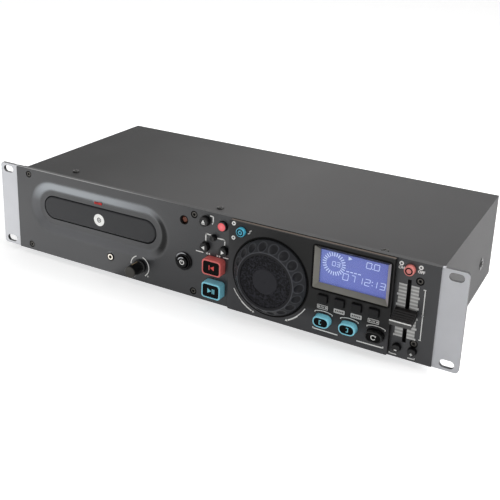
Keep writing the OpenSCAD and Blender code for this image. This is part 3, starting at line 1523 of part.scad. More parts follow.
// Output sockets and the mains inlet, fixed in the rear panel
module rear_sockets() {
    y1 = rear_y + sheet_t;
    neck_in = 0.3;
    color(black) {
        for (p = rca_places) difference() {
            union() {
                bar(p, y1 + rca_len, y1, rca_r);
                bar(p, y1 + eps, rear_y - 1, rca_r - neck_in);
                box([p[0] - 6, rear_y - 9, p[1] - 7], [p[0] + 6, rear_y, p[1] + 7]);
            }
            bar(p, y1 + rca_len + eps, y1 + 1, 3.2);
        }
        for (p = rca_places) bar(p, y1 + rca_len - 1, y1 - 1, 1.6);
        inlet();
    }
}
module inlet() {
    y1 = rear_y + sheet_t;
    wall = 1.6;
    flange = 1.8;
    pin = [2, 4];
    half_w = inlet_w / 2;
    half_h = inlet_h / 2;
    back = y1 - inlet_d;
    translate([inlet_at[0], 0, inlet_at[1]]) {
        difference() {
            union() {
                box([-half_w - wall, back - wall, -half_h - wall], [half_w + wall, y1, half_h + wall]);
                box([-half_w - 11, y1, -half_h - 3], [half_w + 11, y1 + flange, half_h + 3]);
            }
            box([-half_w, back, -half_h], [half_w, y1 + flange + eps, half_h]);
        }
        for (q = [[-7, -2], [7, -2], [0, 2]])
            box([q[0] - pin[0] / 2, back - eps, q[1] - pin[1] / 2],
                [q[0] + pin[0] / 2, y1 - 2, q[1] + pin[1] / 2]);
    }
}

chassis_pan();
rear_panel();
top_cover();
rack_ears();
front_fascia();
control_block();
fascia_screws();
cover_screws();
rubber_feet();
lcd_window();
lcd_module();
front_board();
jog_ring();
jog_pad();
jog_encoder();
fader_body();
fader_cap();
volume_pot();
volume_knob();
power_ring();
power_button();
eject_button();
red_button();
plus_button();
previous_button();
next_button();
cue_button();
play_button();
jog_mode_button();
display_key_1();
display_key_2();
display_key_3();
display_key_4();
loop_in_button();
loop_out_button();
reloop_button();
pitch_button();
bend_minus_button();
bend_plus_button();
indicator_lamps();
remote_sensor();
aux_socket();
loader_frame();
tray_door();
disc_tray();
clamp_bridge();
disc_clamper();
traverse();
guide_rods();
turntable();
traverse_motors();
pickup_sled();
sled_gear();
loading_motor();
motor_pulley();
drive_belt();
drive_gear();
main_board();
transformer();
rear_sockets();
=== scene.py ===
import math
import bmesh
import bpy
from mathutils import Matrix, Vector


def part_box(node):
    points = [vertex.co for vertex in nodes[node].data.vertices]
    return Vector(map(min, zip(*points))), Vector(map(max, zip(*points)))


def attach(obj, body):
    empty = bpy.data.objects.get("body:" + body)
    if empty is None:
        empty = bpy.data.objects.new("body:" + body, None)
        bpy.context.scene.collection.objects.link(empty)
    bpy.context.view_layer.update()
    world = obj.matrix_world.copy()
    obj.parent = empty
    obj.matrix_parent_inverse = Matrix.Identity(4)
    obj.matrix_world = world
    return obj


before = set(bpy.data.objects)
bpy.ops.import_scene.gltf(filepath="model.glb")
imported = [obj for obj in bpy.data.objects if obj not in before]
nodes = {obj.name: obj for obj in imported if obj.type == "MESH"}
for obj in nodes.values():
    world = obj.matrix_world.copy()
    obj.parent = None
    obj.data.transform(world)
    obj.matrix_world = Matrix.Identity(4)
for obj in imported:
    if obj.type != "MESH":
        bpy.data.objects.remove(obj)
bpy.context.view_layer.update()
mm = 0.001
printed = 0.04    # how far print stands in front of its panel, mm
inlaid = 0.03     # the same for dark seats and grooves, mm
rooted = 0.1      # how far a mark reaches into its panel, mm
print("frame loaded:", len(nodes), "nodes")


# camera, fitted to the photograph's frame of 500 by 500
cameraFit = {"azimuth": 27.56, "elevation": 17.72, "roll": 2.2, "place": (0.3559, -0.582, 0.3125),
             "sensor": 36, "lens": 58.67, "shift": (-0.014, -0.1874), "near": 0.01}


def makeCamera(fit):
    a, e, r = (math.radians(fit[k]) for k in ("azimuth", "elevation", "roll"))
    back = Vector((math.sin(a) * math.cos(e), -math.cos(a) * math.cos(e), math.sin(e)))
    right = Vector((math.cos(a), math.sin(a), 0))
    up = back.cross(right)
    sideways = right * math.cos(r) + up * math.sin(r)
    upright = up * math.cos(r) - right * math.sin(r)
    bpy.ops.object.camera_add()
    camera = bpy.context.object
    camera.name = "photoCamera"
    turn = Matrix((sideways, upright, back)).transposed().to_4x4()
    camera.matrix_world = Matrix.Translation(fit["place"]) @ turn
    camera.data.sensor_width = fit["sensor"]
    camera.data.lens = fit["lens"]
    camera.data.shift_x, camera.data.shift_y = fit["shift"]
    camera.data.clip_start = fit["near"]
    bpy.context.scene.camera = camera


makeCamera(cameraFit)
bpy.context.scene.view_settings.view_transform = "Standard"
print("camera set")


# node helpers
def addNode(tree, kind, links=None, **values):    # a node with its settings and what feeds it
    node = tree.nodes.new(kind)
    for key, value in values.items():
        setattr(node, key, value)
    for socket, source in (links or {}).items():
        if hasattr(source, "is_output"):
            tree.links.new(source, node.inputs[socket])
        else:
            node.inputs[socket].default_value = source
    return node


def mathNode(tree, operation, first, second=0.0, clamp=False):
    node = addNode(tree, "ShaderNodeMath", {0: first, 1: second}, operation=operation, use_clamp=clamp)
    return node.outputs[0]


def times(tree, first, second):
    return mathNode(tree, "MULTIPLY", first, second)


def minus(tree, first, second):
    return mathNode(tree, "SUBTRACT", first, second)


def larger(tree, first, second):
    return mathNode(tree, "MAXIMUM", first, second)


def rootSum(tree, first, second):    # length of the diagonal
    squares = [times(tree, v, v) for v in (first, second)]
    return mathNode(tree, "SQRT", mathNode(tree, "ADD", *squares))


def ramp(tree, value, low, high, outLow=0.0, outHigh=1.0):    # straight ramp between two values
    node = addNode(tree, "ShaderNodeMapRange", {"Value": value, "From Min": low, "From Max": high,
                                                "To Min": outLow, "To Max": outHigh})
    return node.outputs["Result"]


def rampMm(tree, value, low, high, outLow=0.0, outHigh=1.0):    # the same for places in mm
    return ramp(tree, value, low * mm, high * mm, outLow, outHigh)


def band(tree, value, inner, outer, soft):    # 1 between two values, with soft borders
    return times(tree, ramp(tree, value, inner, inner + soft), ramp(tree, value, outer, outer - soft))


def objectPlace(tree):
    return addNode(tree, "ShaderNodeTexCoord").outputs["Object"]


def objectAxes(tree):
    return addNode(tree, "ShaderNodeSeparateXYZ", {0: objectPlace(tree)}).outputs


def offsetsFrom(tree, x, z):    # how far right of and above an axis along Y through x, z in mm
    axes = objectAxes(tree)
    return minus(tree, axes["X"], x * mm), minus(tree, axes["Z"], z * mm)


def radiusFrom(tree, x, z):    # distance from that axis
    return rootSum(tree, *offsetsFrom(tree, x, z))


def noise(tree, scale, detail=2.0, rough=0.5):
    links = {"Vector": objectPlace(tree), "Scale": scale, "Detail": detail, "Roughness": rough}
    return addNode(tree, "ShaderNodeTexNoise", links).outputs["Fac"]


def softNormal(tree, radius, samples):    # normals with the edges rounded off, radius in mm
    return addNode(tree, "ShaderNodeBevel", {"Radius": radius * mm}, samples=samples).outputs["Normal"]


# shared node groups
def newGroup(name, inputs, outputs):
    group = bpy.data.node_groups.new(name, "ShaderNodeTree")
    for label, value in inputs.items():
        socket = group.interface.new_socket(label, in_out="INPUT", socket_type="NodeSocketFloat")
        socket.default_value = value
    for label in outputs:
        group.interface.new_socket(label, in_out="OUTPUT", socket_type="NodeSocketFloat")
    start = group.nodes.new("NodeGroupInput")
    end = group.nodes.new("NodeGroupOutput")
    return group, start, end


grainMix = {"detail": 3, "rough": 0.55, "cells": 0.6, "patchDetail": 4, "patchRough": 0.6}


def makeGrain(g):    # fine moulded texture: a height for the bump and a slow change of tone
    group, start, end = newGroup("mouldedGrain", {"Size": 0.4, "Patch": 40}, ("Height", "Tone"))
    fine, wide = (mathNode(group, "DIVIDE", 1 / mm, start.outputs[k]) for k in ("Size", "Patch"))
    links = {"Vector": objectPlace(group), "Scale": fine}
    cells = addNode(group, "ShaderNodeTexVoronoi", links, feature="SMOOTH_F1")
    height = mathNode(group, "MULTIPLY_ADD", cells.outputs["Distance"], g["cells"])
    group.links.new(noise(group, fine, g["detail"], g["rough"]), height.node.inputs[2])
    group.links.new(height, end.inputs["Height"])
    group.links.new(noise(group, wide, g["patchDetail"], g["patchRough"]), end.inputs["Tone"])
    return group


wearMix = {"turned": (0.02, 0.2), "broken": (0.35, 0.65), "scale": 260, "detail": 4, "samples": 4}


def makeEdges(w):    # mask of worn outer edges, broken up by noise
    group, start, end = newGroup("wornEdges", {"Radius": 0.0004, "Amount": 1.0}, ("Mask",))
    soft = addNode(group, "ShaderNodeBevel", {"Radius": start.outputs["Radius"]}, samples=w["samples"])
    true = addNode(group, "ShaderNodeNewGeometry").outputs["True Normal"]
    links = {0: soft.outputs["Normal"], 1: true}
    dot = addNode(group, "ShaderNodeVectorMath", links, operation="DOT_PRODUCT")
    turned = ramp(group, minus(group, 1.0, dot.outputs["Value"]), *w["turned"])
    broken = ramp(group, noise(group, w["scale"], w["detail"]), *w["broken"])
    mask = mathNode(group, "MULTIPLY", times(group, turned, broken), start.outputs["Amount"], True)
    group.links.new(mask, end.inputs["Mask"])
    return group


mouldedGrain = makeGrain(grainMix)
wornEdges = makeEdges(wearMix)


# materials, with colours written as they show on screen, 0 to 255
def tint(red, green, blue):
    def straight(v):
        v /= 255
        return v / 12.92 if v <= 0.04045 else ((v + 0.055) / 1.055) ** 2.4
    return (straight(red), straight(green), straight(blue), 1.0)


def shaded(colour, gain, lift=0.0):
    return tuple(min(1, c * gain + lift) for c in colour[:3]) + (1.0,)


def placeGroup(tree, group, **inputs):
    node = addNode(tree, "ShaderNodeGroup", node_tree=group)
    for key, value in inputs.items():
        node.inputs[key].default_value = value
    return node


def mixColour(tree, mask, first, second):
    node = addNode(tree, "ShaderNodeMix", {"Factor": mask}, data_type="RGBA")
    for socket, value in ((node.inputs[6], first), (node.inputs[7], second)):
        if hasattr(value, "is_output"):
            tree.links.new(value, socket)
        else:
            socket.default_value = tint(*value) if len(value) == 3 else value
    return node.outputs[2]


def newMaterial(name):
    material = bpy.data.materials.new(name)
    material.use_nodes = True
    tree = material.node_tree
    return material, tree, tree.nodes["Principled BSDF"]


finishMix = {"tone": (0.3, 0.7), "gloss": (0.25, 0.75), "smoother": 0.05, "rougher": 0.06,
             "worn": (2.2, 0.02), "wearRadius": 0.5, "bump": 0.2, "samples": 6}


def makeFinish(name, colour, rough=0.45, metal=0.0, grain=0.4, patch=40, depth=0.25, tone=0.12, wear=0.2,
               wearColour=None, rounding=0.25, glow=0.0, paint=None, spec=0.5, soften=None, dull=None):
    # one moulded, painted or plated finish; paint changes the colour over the piece
    m = finishMix
    material, tree, shader = newMaterial(name)
    plain = tint(*colour)
    texture = placeGroup(tree, mouldedGrain, Size=grain, Patch=patch).outputs
    shades = [shaded(plain, gain) for gain in (1 - tone, 1 + tone)]
    base = mixColour(tree, ramp(tree, texture["Tone"], *m["tone"]), *shades)
    if paint:
        base = paint(tree, base)
    if wear:
        edges = placeGroup(tree, wornEdges, Radius=m["wearRadius"] * mm, Amount=wear)
        base = mixColour(tree, edges.outputs["Mask"], base, wearColour or shaded(plain, *m["worn"]))
    tree.links.new(base, shader.inputs["Base Color"])
    gloss = ramp(tree, texture["Tone"], *m["gloss"], rough - m["smoother"], rough + m["rougher"])
    if dull:
        gloss = larger(tree, gloss, dull(tree))
    tree.links.new(gloss, shader.inputs["Roughness"])
    shader.inputs["Metallic"].default_value = metal
    shader.inputs["Specular IOR Level"].default_value = spec
    if glow:
        tree.links.new(base, shader.inputs["Emission Color"])
        shader.inputs["Emission Strength"].default_value = glow
    links = {"Strength": depth, "Distance": m["bump"] * mm, "Height": texture["Height"]}
    bump = addNode(tree, "ShaderNodeBump", links)
    if rounding:
        soft = softNormal(tree, rounding, m["samples"])
        if soften:
            soft = soften(tree, soft)
        tree.links.new(soft, bump.inputs["Normal"])
    tree.links.new(bump.outputs["Normal"], shader.inputs["Normal"])
    return material


def nodeMid(name):    # middle of a CAD node seen from the front, mm
    low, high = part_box(name)
    return (low.x + high.x) / 2 / mm, (low.z + high.z) / 2 / mm


def nodeFront(name):    # front plane of a CAD node, mm
    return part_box(name)[0].y / mm


jogMid = nodeMid("jog_ring")
knobMid = nodeMid("volume_knob")
fasciaY = nodeFront("front_fascia")
blockY = nodeFront("control_block")


# paints: how a finish changes over its piece, several of them painted light and shade; places in mm, turned
# values are parts of the normal
hollow = {"inner": (15, 17), "outer": (32, 31), "soft": 5, "samples": 12,
          "end": (-0.08, -0.3)}    # concave oblong, mm from the drawer's long axis


def facingAxes(tree, soft=0.0):    # which way the surface looks, on request with its edges rounded off
    if soft:
        normal = softNormal(tree, soft, hollow["samples"])
    else:
        normal = addNode(tree, "ShaderNodeNewGeometry").outputs["Normal"]
    return addNode(tree, "ShaderNodeSeparateXYZ", {0: normal}).outputs


def hollowZone(tree):    # the slopes round the drawer, clear of the opening and of the fascia's edges
    low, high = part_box("tray_door")
    straight = (high.x - low.x - high.z + low.z) / 2    # half length of the door's straight part
    right, above = offsetsFrom(tree, *nodeMid("tray_door"))
    along = larger(tree, minus(tree, mathNode(tree, "ABSOLUTE", right), straight), 0.0)
    away = rootSum(tree, along, above)
    sides = [rampMm(tree, away, *hollow[key]) for key in ("inner", "outer")]
    return mathNode(tree, "MINIMUM", *sides)


def sweepSoftly(tree, normal):    # the concave oblong runs out into the fascia without a hard edge
    node = addNode(tree, "ShaderNodeMix", {"Factor": hollowZone(tree)}, data_type="VECTOR")
    tree.links.new(normal, node.inputs[4])
    tree.links.new(softNormal(tree, hollow["soft"], hollow["samples"]), node.inputs[5])
    return node.outputs[1]


def hollowEnd(tree):    # mask of the hollow's right end: rougher there, and painted dark there as shade
    turned = ramp(tree, facingAxes(tree, hollow["soft"])["X"], *hollow["end"])
    return times(tree, hollowZone(tree), turned)


# painted light and shade on the fascia: tints for its upper edge and the hollow's slopes
fasciaShade = {"highlightX": (-20, -110), "highlightY": (-1.9, -2.3), "edge": ((14, 14, 14), (138, 138, 138)),
               "up": (0.7, 0.9), "rise": (0.05, 0.3), "riseTint": (74, 75, 78), "fall": (-0.06, -0.3),
               "fadeX": (-35, -100), "fade": (0.36, 1.0), "fallTint": (142, 147, 152), "endTint": (8, 8, 8)}


def fasciaPaint(tree, base):    # painted highlight on the upper edge at the left, painted shade on it further right; in the hollow, painted light on the lower and left slopes, a painted highlight on the upper slope and painted shade at the dulled right end
    s = fasciaShade
    axes = objectAxes(tree)
    along = times(tree, rampMm(tree, axes["X"], *s["highlightX"]), rampMm(tree, axes["Y"], *s["highlightY"]))
    edge = mixColour(tree, along, *s["edge"])
    rimmed = mixColour(tree, ramp(tree, facingAxes(tree)["Z"], *s["up"]), base, edge)
    zone = hollowZone(tree)
    slope = facingAxes(tree, hollow["soft"])
    rise = larger(tree, ramp(tree, slope["Z"], *s["rise"]), ramp(tree, slope["X"], *s["rise"]))
    raised = mixColour(tree, times(tree, zone, rise), rimmed, s["riseTint"])
    fade = rampMm(tree, axes["X"], *s["fadeX"], *s["fade"])
    upper = times(tree, ramp(tree, slope["Z"], *s["fall"]), fade)
    highlighted = mixColour(tree, times(tree, zone, upper), raised, s["fallTint"])
    return mixColour(tree, hollowEnd(tree), highlighted, s["endTint"])


blockShade = {"leftX": (82, 34), "leftZ": (30, -30), "leftFade": (0.3, 1.0), "lowZ": (-17, -30),
              "lowFade": (0.0, 0.95), "pale": (72, 72, 74), "turned": (0.6, 0.9), "side": (6, 6, 6),
              "topY": (-6.8, -6.2), "top": ((8, 8, 8), (104, 93, 84))}


def blockPaint(tree, base):    # painted light to the left and below, painted shade on the right side, painted highlight and shade on the upper face
    s = blockShade
    facing = facingAxes(tree)
    axes = objectAxes(tree)
    fade = rampMm(tree, axes["Z"], *s["leftZ"], *s["leftFade"])
    left = times(tree, rampMm(tree, axes["X"], *s["leftX"]), fade)
    pale = larger(tree, left, rampMm(tree, axes["Z"], *s["lowZ"], *s["lowFade"]))
    front = mixColour(tree, pale, base, s["pale"])
    sides = mixColour(tree, ramp(tree, facing["X"], *s["turned"]), front, s["side"])
    top = mixColour(tree, rampMm(tree, axes["Y"], *s["topY"]), *s["top"])
    return mixColour(tree, ramp(tree, facing["Z"], *s["turned"]), sides, top)


coverShade = {"leftX": (-170, 30), "left": (12, 11, 11), "middle": (77, 76, 76), "rightX": (30, 210),
              "right": (52, 51, 52), "share": 0.8, "edgeX": (-215.8, -216.8), "edgeY": (198.4, 199.4),
              "edge": (10, 10, 10)}


def coverEdges(tree, base):    # painted light in the middle and painted shade towards the left and right, painted shade as a dark line along the folded edges
    s = coverShade
    axes = objectAxes(tree)
    shade = mixColour(tree, rampMm(tree, axes["X"], *s["leftX"]), s["left"], s["middle"])
    shade = mixColour(tree, rampMm(tree, axes["X"], *s["rightX"]), shade, s["right"])
    sheet = mixColour(tree, s["share"], base, shade)
    edge = larger(tree, rampMm(tree, axes["X"], *s["edgeX"]), rampMm(tree, axes["Y"], *s["edgeY"]))
    return mixColour(tree, edge, sheet, s["edge"])


earShade = {"turned": (0.8, 0.5), "outerX": (221, 222.5), "cut": (58, 58, 60)}


def earEdges(tree, base):    # cut edges and slot walls painted darker than the faces, as shade
    s = earShade
    edge = ramp(tree, mathNode(tree, "ABSOLUTE", facingAxes(tree)["Y"]), *s["turned"])
    outer = rampMm(tree, mathNode(tree, "ABSOLUTE", objectAxes(tree)["X"]), *s["outerX"])
    return mixColour(tree, times(tree, edge, outer), base, s["cut"])


bezelShade = {"turned": (-0.3, -0.5), "right": (182, 175, 174), "upper": (12, 12, 12)}


def bezelPaint(tree, base):    # painted shade makes the upper slope black, a painted highlight makes the right slope pale
    s = bezelShade
    facing = facingAxes(tree)
    right = mixColour(tree, ramp(tree, facing["X"], *s["turned"]), base, s["right"])
    return mixColour(tree, ramp(tree, facing["Z"], *s["turned"]), right, s["upper"])


def frontPaint(low, high, colour):    # another colour from one plane along Y to the other, mm
    def paint(tree, base):
        return mixColour(tree, rampMm(tree, objectAxes(tree)["Y"], low, high), base, colour)
    return paint


wheel = {"dimples": 18, "midRadius": 30.4, "stretch": 1.25, "border": (3.5, 4.9, 0.5), "borderShare": 0.3,
         "borderTint": (92, 93, 98), "dimple": (3.9, 3.3), "dimpleShare": 0.85, "dimpleTint": (24, 24, 27),
         "inside": (26.6, 26.2), "insideTint": (26, 26, 29), "rim": (26.1, 27.2, 0.3), "rimShare": 0.7,
         "rimTint": (84, 85, 90)}


def wheelPaint(tree, base):    # painted shade in the dimples with a painted highlight on their borders, painted shade inside the pad's rim and a painted highlight line along it
    right, above = offsetsFrom(tree, *jogMid)
    away = rootSum(tree, right, above)
    pitch = math.tau / wheel["dimples"]
    turn = times(tree, mathNode(tree, "ARCTAN2", above, right), 1 / pitch)
    across = times(tree, minus(tree, turn, mathNode(tree, "ROUND", turn)), pitch * wheel["midRadius"])
    along = times(tree, minus(tree, away, wheel["midRadius"] * mm), wheel["stretch"] / mm)
    far = rootSum(tree, across, along)    # from the middle of the nearest dimple, mm
    border = times(tree, band(tree, far, *wheel["border"]), wheel["borderShare"])
    highlighted = mixColour(tree, border, base, wheel["borderTint"])
    dimple = ramp(tree, far, *wheel["dimple"], 0.0, wheel["dimpleShare"])
    dimpled = mixColour(tree, dimple, highlighted, wheel["dimpleTint"])
    inner = mixColour(tree, rampMm(tree, away, *wheel["inside"]), dimpled, wheel["insideTint"])
    rim = times(tree, band(tree, away, *[r * mm for r in wheel["rim"]]), wheel["rimShare"])
    return mixColour(tree, rim, inner, wheel["rimTint"])


pad = {"grit": 640, "detail": 3, "speckle": (0.4, 0.68), "dark": (3, 3, 4), "light": (46, 46, 52),
       "middle": (12.1, 11.6), "plain": (46, 46, 50)}


def padPaint(tree, base):    # speckled rubber with a plain grey middle
    speckle = ramp(tree, noise(tree, pad["grit"], pad["detail"]), *pad["speckle"])
    speckled = mixColour(tree, speckle, pad["dark"], pad["light"])
    return mixColour(tree, rampMm(tree, radiusFrom(tree, *jogMid), *pad["middle"]), speckled, pad["plain"])


crescent = {"rims": ((7.4, 8.7), (3.9, 5.1)), "soft": 0.3, "lean": 0.45, "towards": (0.72, 1.0),
            "bright": (214, 216, 220)}    # power key, mm from its axis


def crescentHighlight(tree, base):    # painted highlight: crescents on the ring and button at the upper left
    right, above = offsetsFrom(tree, *nodeMid("power_ring"))
    away = rootSum(tree, right, above)
    height = minus(tree, above, times(tree, right, crescent["lean"]))
    towards = ramp(tree, mathNode(tree, "DIVIDE", height, away), *crescent["towards"])
    for rim in crescent["rims"]:
        edge = band(tree, away, *[r * mm for r in (*rim, crescent["soft"])])
        base = mixColour(tree, times(tree, edge, towards), base, crescent["bright"])
    return base


redFace = {"lit": (0.0, 3.7), "middle": (255, 128, 132), "rim": (226, 78, 86), "collar": (3.6, 3.9),
           "black": (14, 14, 15)}


def redFacePaint(tree, base):    # lit face inside a black collar
    away = radiusFrom(tree, *nodeMid("red_button"))
    lit = mixColour(tree, rampMm(tree, away, *redFace["lit"]), redFace["middle"], redFace["rim"])
    return mixColour(tree, rampMm(tree, away, *redFace["collar"]), lit, redFace["black"])


drawerLamp = {"scale": 420, "blotch": (0.4, 0.6), "tints": ((124, 6, 5), (186, 16, 11)), "endX": (-20, -19)}


def lampPaint(tree, base):    # the drawer's window is red, the small lamps are clear grey
    blotch = ramp(tree, noise(tree, drawerLamp["scale"]), *drawerLamp["blotch"])
    drawer = mixColour(tree, blotch, *drawerLamp["tints"])
    return mixColour(tree, rampMm(tree, objectAxes(tree)["X"], *drawerLamp["endX"]), drawer, base)


backLight = {"alongX": (117, 176), "left": (108, 122, 190), "right": (98, 108, 180), "downZ": (34, 5),
             "fade": (0.0, 0.35), "low": (92, 104, 186), "turned": (-0.8, -0.5), "frame": (16, 16, 17)}


def displayPaint(tree, base):    # back light falls off to the right and to the lower edge
    s = backLight
    axes = objectAxes(tree)
    side = mixColour(tree, rampMm(tree, axes["X"], *s["alongX"]), s["left"], s["right"])
    lit = mixColour(tree, rampMm(tree, axes["Z"], *s["downZ"], *s["fade"]), side, s["low"])
    return mixColour(tree, ramp(tree, facingAxes(tree)["Y"], *s["turned"]), lit, s["frame"])


litKey = dict(rough=0.34, depth=0.06, tone=0.05, wear=0, glow=0.1)
ink = dict(rough=0.5, grain=0.2, depth=0.05, tone=0.08, wear=0, rounding=0)
finishRows = {
    "fasciaPlastic": dict(colour=(30, 31, 34), rough=0.4, grain=0.35, depth=0.3, spec=0.56,
                          paint=fasciaPaint, soften=sweepSoftly, dull=hollowEnd),
    "blockPlastic": dict(colour=(27, 27, 27), grain=0.35, wear=0.25, spec=0.2, paint=blockPaint),
    "doorPlastic": dict(colour=(17, 18, 22), rough=0.36, grain=0.35, depth=0.15, wear=0.5,
                        wearColour=(120, 122, 126), rounding=1.6, spec=0.27),
    "coverPaint": dict(colour=(54, 53, 53), rough=0.5, grain=0.5, patch=320, depth=0.3, tone=0.05, wear=0.1,
                       rounding=0.5, spec=0.24, paint=coverEdges),
    "backPaint": dict(colour=(34, 34, 35), rough=0.5, grain=0.5, depth=0.35, wear=0.3),
    "earPaint": dict(colour=(194, 195, 199), rough=0.4, metal=0.1, grain=0.7, patch=22, depth=0.15, tone=0.03,
                     wear=0.12, wearColour=(225, 226, 228), rounding=0.2, paint=earEdges),
    # cover screws: the heavy pale edge wear is partly wear and partly a painted highlight standing in for
    # glints
    "screwBlack": dict(colour=(20, 19, 18), rough=0.2, metal=0.5, depth=0.1, wear=0.8,
                       wearColour=(150, 146, 138), rounding=0.4),
    "screwGrey": dict(colour=(82, 79, 73), rough=0.4, metal=0.2, depth=0.1, wear=0.5, wearColour=(20, 20, 20),
                      paint=frontPaint(-3.8, -3.6, (6, 6, 6))),    # cross recess painted black, as its shade
    "footRubber": dict(colour=(26, 26, 27), rough=0.8, grain=0.6, depth=0.4),
    "wheelPlastic": dict(colour=(38, 39, 42), grain=0.3, depth=0.3, tone=0.2, wear=0.1, spec=0.15,
                         paint=wheelPaint),
    "padRubber": dict(colour=(13, 13, 16), rough=0.6, grain=0.5, depth=0.5, wear=0, spec=0.12,
                      paint=padPaint),
    "blackPlastic": dict(colour=(10, 10, 11), rough=0.3, grain=0.3, depth=0.08, wear=0.25,
                         wearColour=(70, 70, 72), spec=0.3),
    "glossBlack": dict(colour=(6, 6, 7), rough=0.18, grain=0.3, depth=0.03, wear=0.3,
                       wearColour=(110, 110, 112), rounding=0.5, spec=0.12, paint=crescentHighlight),
    "knobPlastic": dict(colour=(7, 7, 7), rough=0.3, depth=0.1, wear=0.15, wearColour=(60, 58, 54),
                        spec=0.3, paint=frontPaint(-19.9, -20.3, (54, 52, 47))),    # greyer flat end
    "capPlastic": dict(colour=(16, 14, 14), rough=0.34, depth=0.1, wear=0.5, wearColour=(96, 92, 90),
                       spec=0.3, paint=frontPaint(-19.4, -20.2, (74, 74, 73))),    # front facet painted grey, as light falling on it
    "keyRubber": dict(colour=(24, 24, 26), rough=0.55, wear=0.3, spec=0.2),
    "keyBlack": dict(colour=(11, 11, 12), rough=0.5, wear=0.5, wearColour=(52, 52, 54), spec=0.2),
    "redPlastic": dict(litKey, colour=(214, 102, 98), rough=0.36),
    "pinkPlastic": dict(litKey, colour=(206, 120, 114)),
    "cyanPlastic": dict(litKey, colour=(136, 214, 233)),
    "deepCyan": dict(litKey, colour=(72, 172, 200), glow=0.08),
    "litRed": dict(colour=(226, 78, 86), rough=0.3, depth=0.05, wear=0, glow=0.22, paint=redFacePaint),
    "lampPlastic": dict(colour=(70, 72, 74), rough=0.2, depth=0.04, wear=0, glow=0.1, spec=0.2,
                        paint=lampPaint),
    "sensorPlastic": dict(colour=(112, 62, 44), rough=0.3, depth=0.05, wear=0, spec=0.2),
    "nickel": dict(colour=(214, 208, 196), rough=0.24, metal=0.9, depth=0.06),
    "zincSheet": dict(colour=(168, 170, 174), rough=0.36, metal=0.85, grain=3, patch=16, depth=0.1,
                      tone=0.15),
    "castMetal": dict(colour=(150, 152, 155), rough=0.5, metal=0.8, grain=0.8, depth=0.5, wear=0.3),
    "rodSteel": dict(colour=(205, 206, 208), rough=0.16, metal=1.0, depth=0.03, wear=0),
    "coreIron": dict(colour=(92, 90, 88), rough=0.5, metal=0.6, grain=0.5, depth=0.4),
    "creamPlastic": dict(colour=(222, 218, 202), rough=0.4, depth=0.08, tone=0.04, wear=0.1),
    "circuitBoard": dict(colour=(36, 92, 60), rough=0.4, grain=1.2, depth=0.15, tone=0.2),
    "displayBlue": dict(colour=(124, 130, 206), rough=0.5, depth=0.0, tone=0.02, wear=0, rounding=0,
                        glow=0.42, paint=displayPaint),
    "segmentInk": dict(colour=(192, 206, 236), rough=0.5, depth=0.0, tone=0.03, wear=0, rounding=0,
                       glow=0.42),
    "whiteInk": dict(ink, colour=(246, 246, 243), tone=0.06),
    "greyInk": dict(ink, colour=(196, 196, 194)),
    "hatchInk": dict(ink, colour=(150, 150, 148), grain=1.5, tone=0.2),
    "tanPointerHighlight": dict(ink, colour=(150, 130, 100), rough=0.4),
    "darkInk": dict(ink, colour=(5, 5, 5), spec=0.06),
    "redInk": dict(ink, colour=(206, 66, 62), rough=0.45, grain=0.4, tone=0.05, glow=0.2),
    "cyanInk": dict(ink, colour=(120, 200, 214), rough=0.45, grain=0.4, tone=0.05, glow=0.15),
    "bezelPlastic": dict(colour=(132, 130, 121), rough=0.4, depth=0.1, wear=0.3, rounding=0.3, spec=0.3,
                         paint=bezelPaint),
}
finishes = {name: makeFinish(name, **row) for name, row in finishRows.items()}

glass = {"grain": 2.0, "patch": 30, "smear": (0.4, 0.75, 0.05, 0.1), "rough": (0.3, 0.7, 0.06, 0.14),
         "colour": (180, 186, 220)}


def makeGlass(g):    # thin clear window over the display
    material, tree, shader = newMaterial("windowGlass")
    tone = placeGroup(tree, mouldedGrain, Size=g["grain"], Patch=g["patch"]).outputs["Tone"]
    tree.links.new(ramp(tree, tone, *g["smear"]), shader.inputs["Alpha"])
    tree.links.new(ramp(tree, tone, *g["rough"]), shader.inputs["Roughness"])
    shader.inputs["Base Color"].default_value = tint(*g["colour"])
    return material


finishes["windowGlass"] = makeGlass(glass)

finishNodes = {
    "fasciaPlastic": "front_fascia", "blockPlastic": "control_block", "doorPlastic": "tray_door",
    "coverPaint": "top_cover", "backPaint": "rear_panel", "earPaint": "rack_ears",
    "screwBlack": "cover_screws", "screwGrey": "fascia_screws",
    "footRubber": "rubber_feet drive_belt", "wheelPlastic": "jog_ring",
    "padRubber": "jog_pad", "glossBlack": "power_ring power_button", "knobPlastic": "volume_knob",
    "blackPlastic": "fader_body eject_button plus_button previous_button next_button reloop_button "
                    "bend_minus_button bend_plus_button turntable rear_sockets",
    "capPlastic": "fader_cap", "keyRubber": "loader_frame disc_tray",
    "keyBlack": "display_key_1 display_key_2 display_key_3 display_key_4", "redPlastic": "cue_button",
    "pinkPlastic": "pitch_button", "cyanPlastic": "play_button loop_in_button loop_out_button",
    "deepCyan": "jog_mode_button", "litRed": "red_button", "lampPlastic": "indicator_lamps",
    "sensorPlastic": "remote_sensor", "nickel": "aux_socket",
    "zincSheet": "chassis_pan jog_encoder volume_pot clamp_bridge traverse_motors loading_motor",
    "castMetal": "traverse", "rodSteel": "guide_rods", "coreIron": "transformer",
    "creamPlastic": "disc_clamper pickup_sled sled_gear motor_pulley drive_gear",
    "circuitBoard": "front_board main_board", "displayBlue": "lcd_module", "windowGlass": "lcd_window",
}
for finish, names in finishNodes.items():
    for name in names.split():
        slots = nodes[name].data.materials
        slots.clear()
        slots.append(finishes[finish])
print("finishes:", len(finishes))


# plates: flat outlines that are drawn facing the front and pulled to their thickness
def startAt(x, y, z, turn=0.0):
    bpy.ops.object.select_all(action="DESELECT")
    return {"location": (x * mm, y * mm, z * mm), "rotation": (math.pi / 2, -math.radians(turn), 0)}


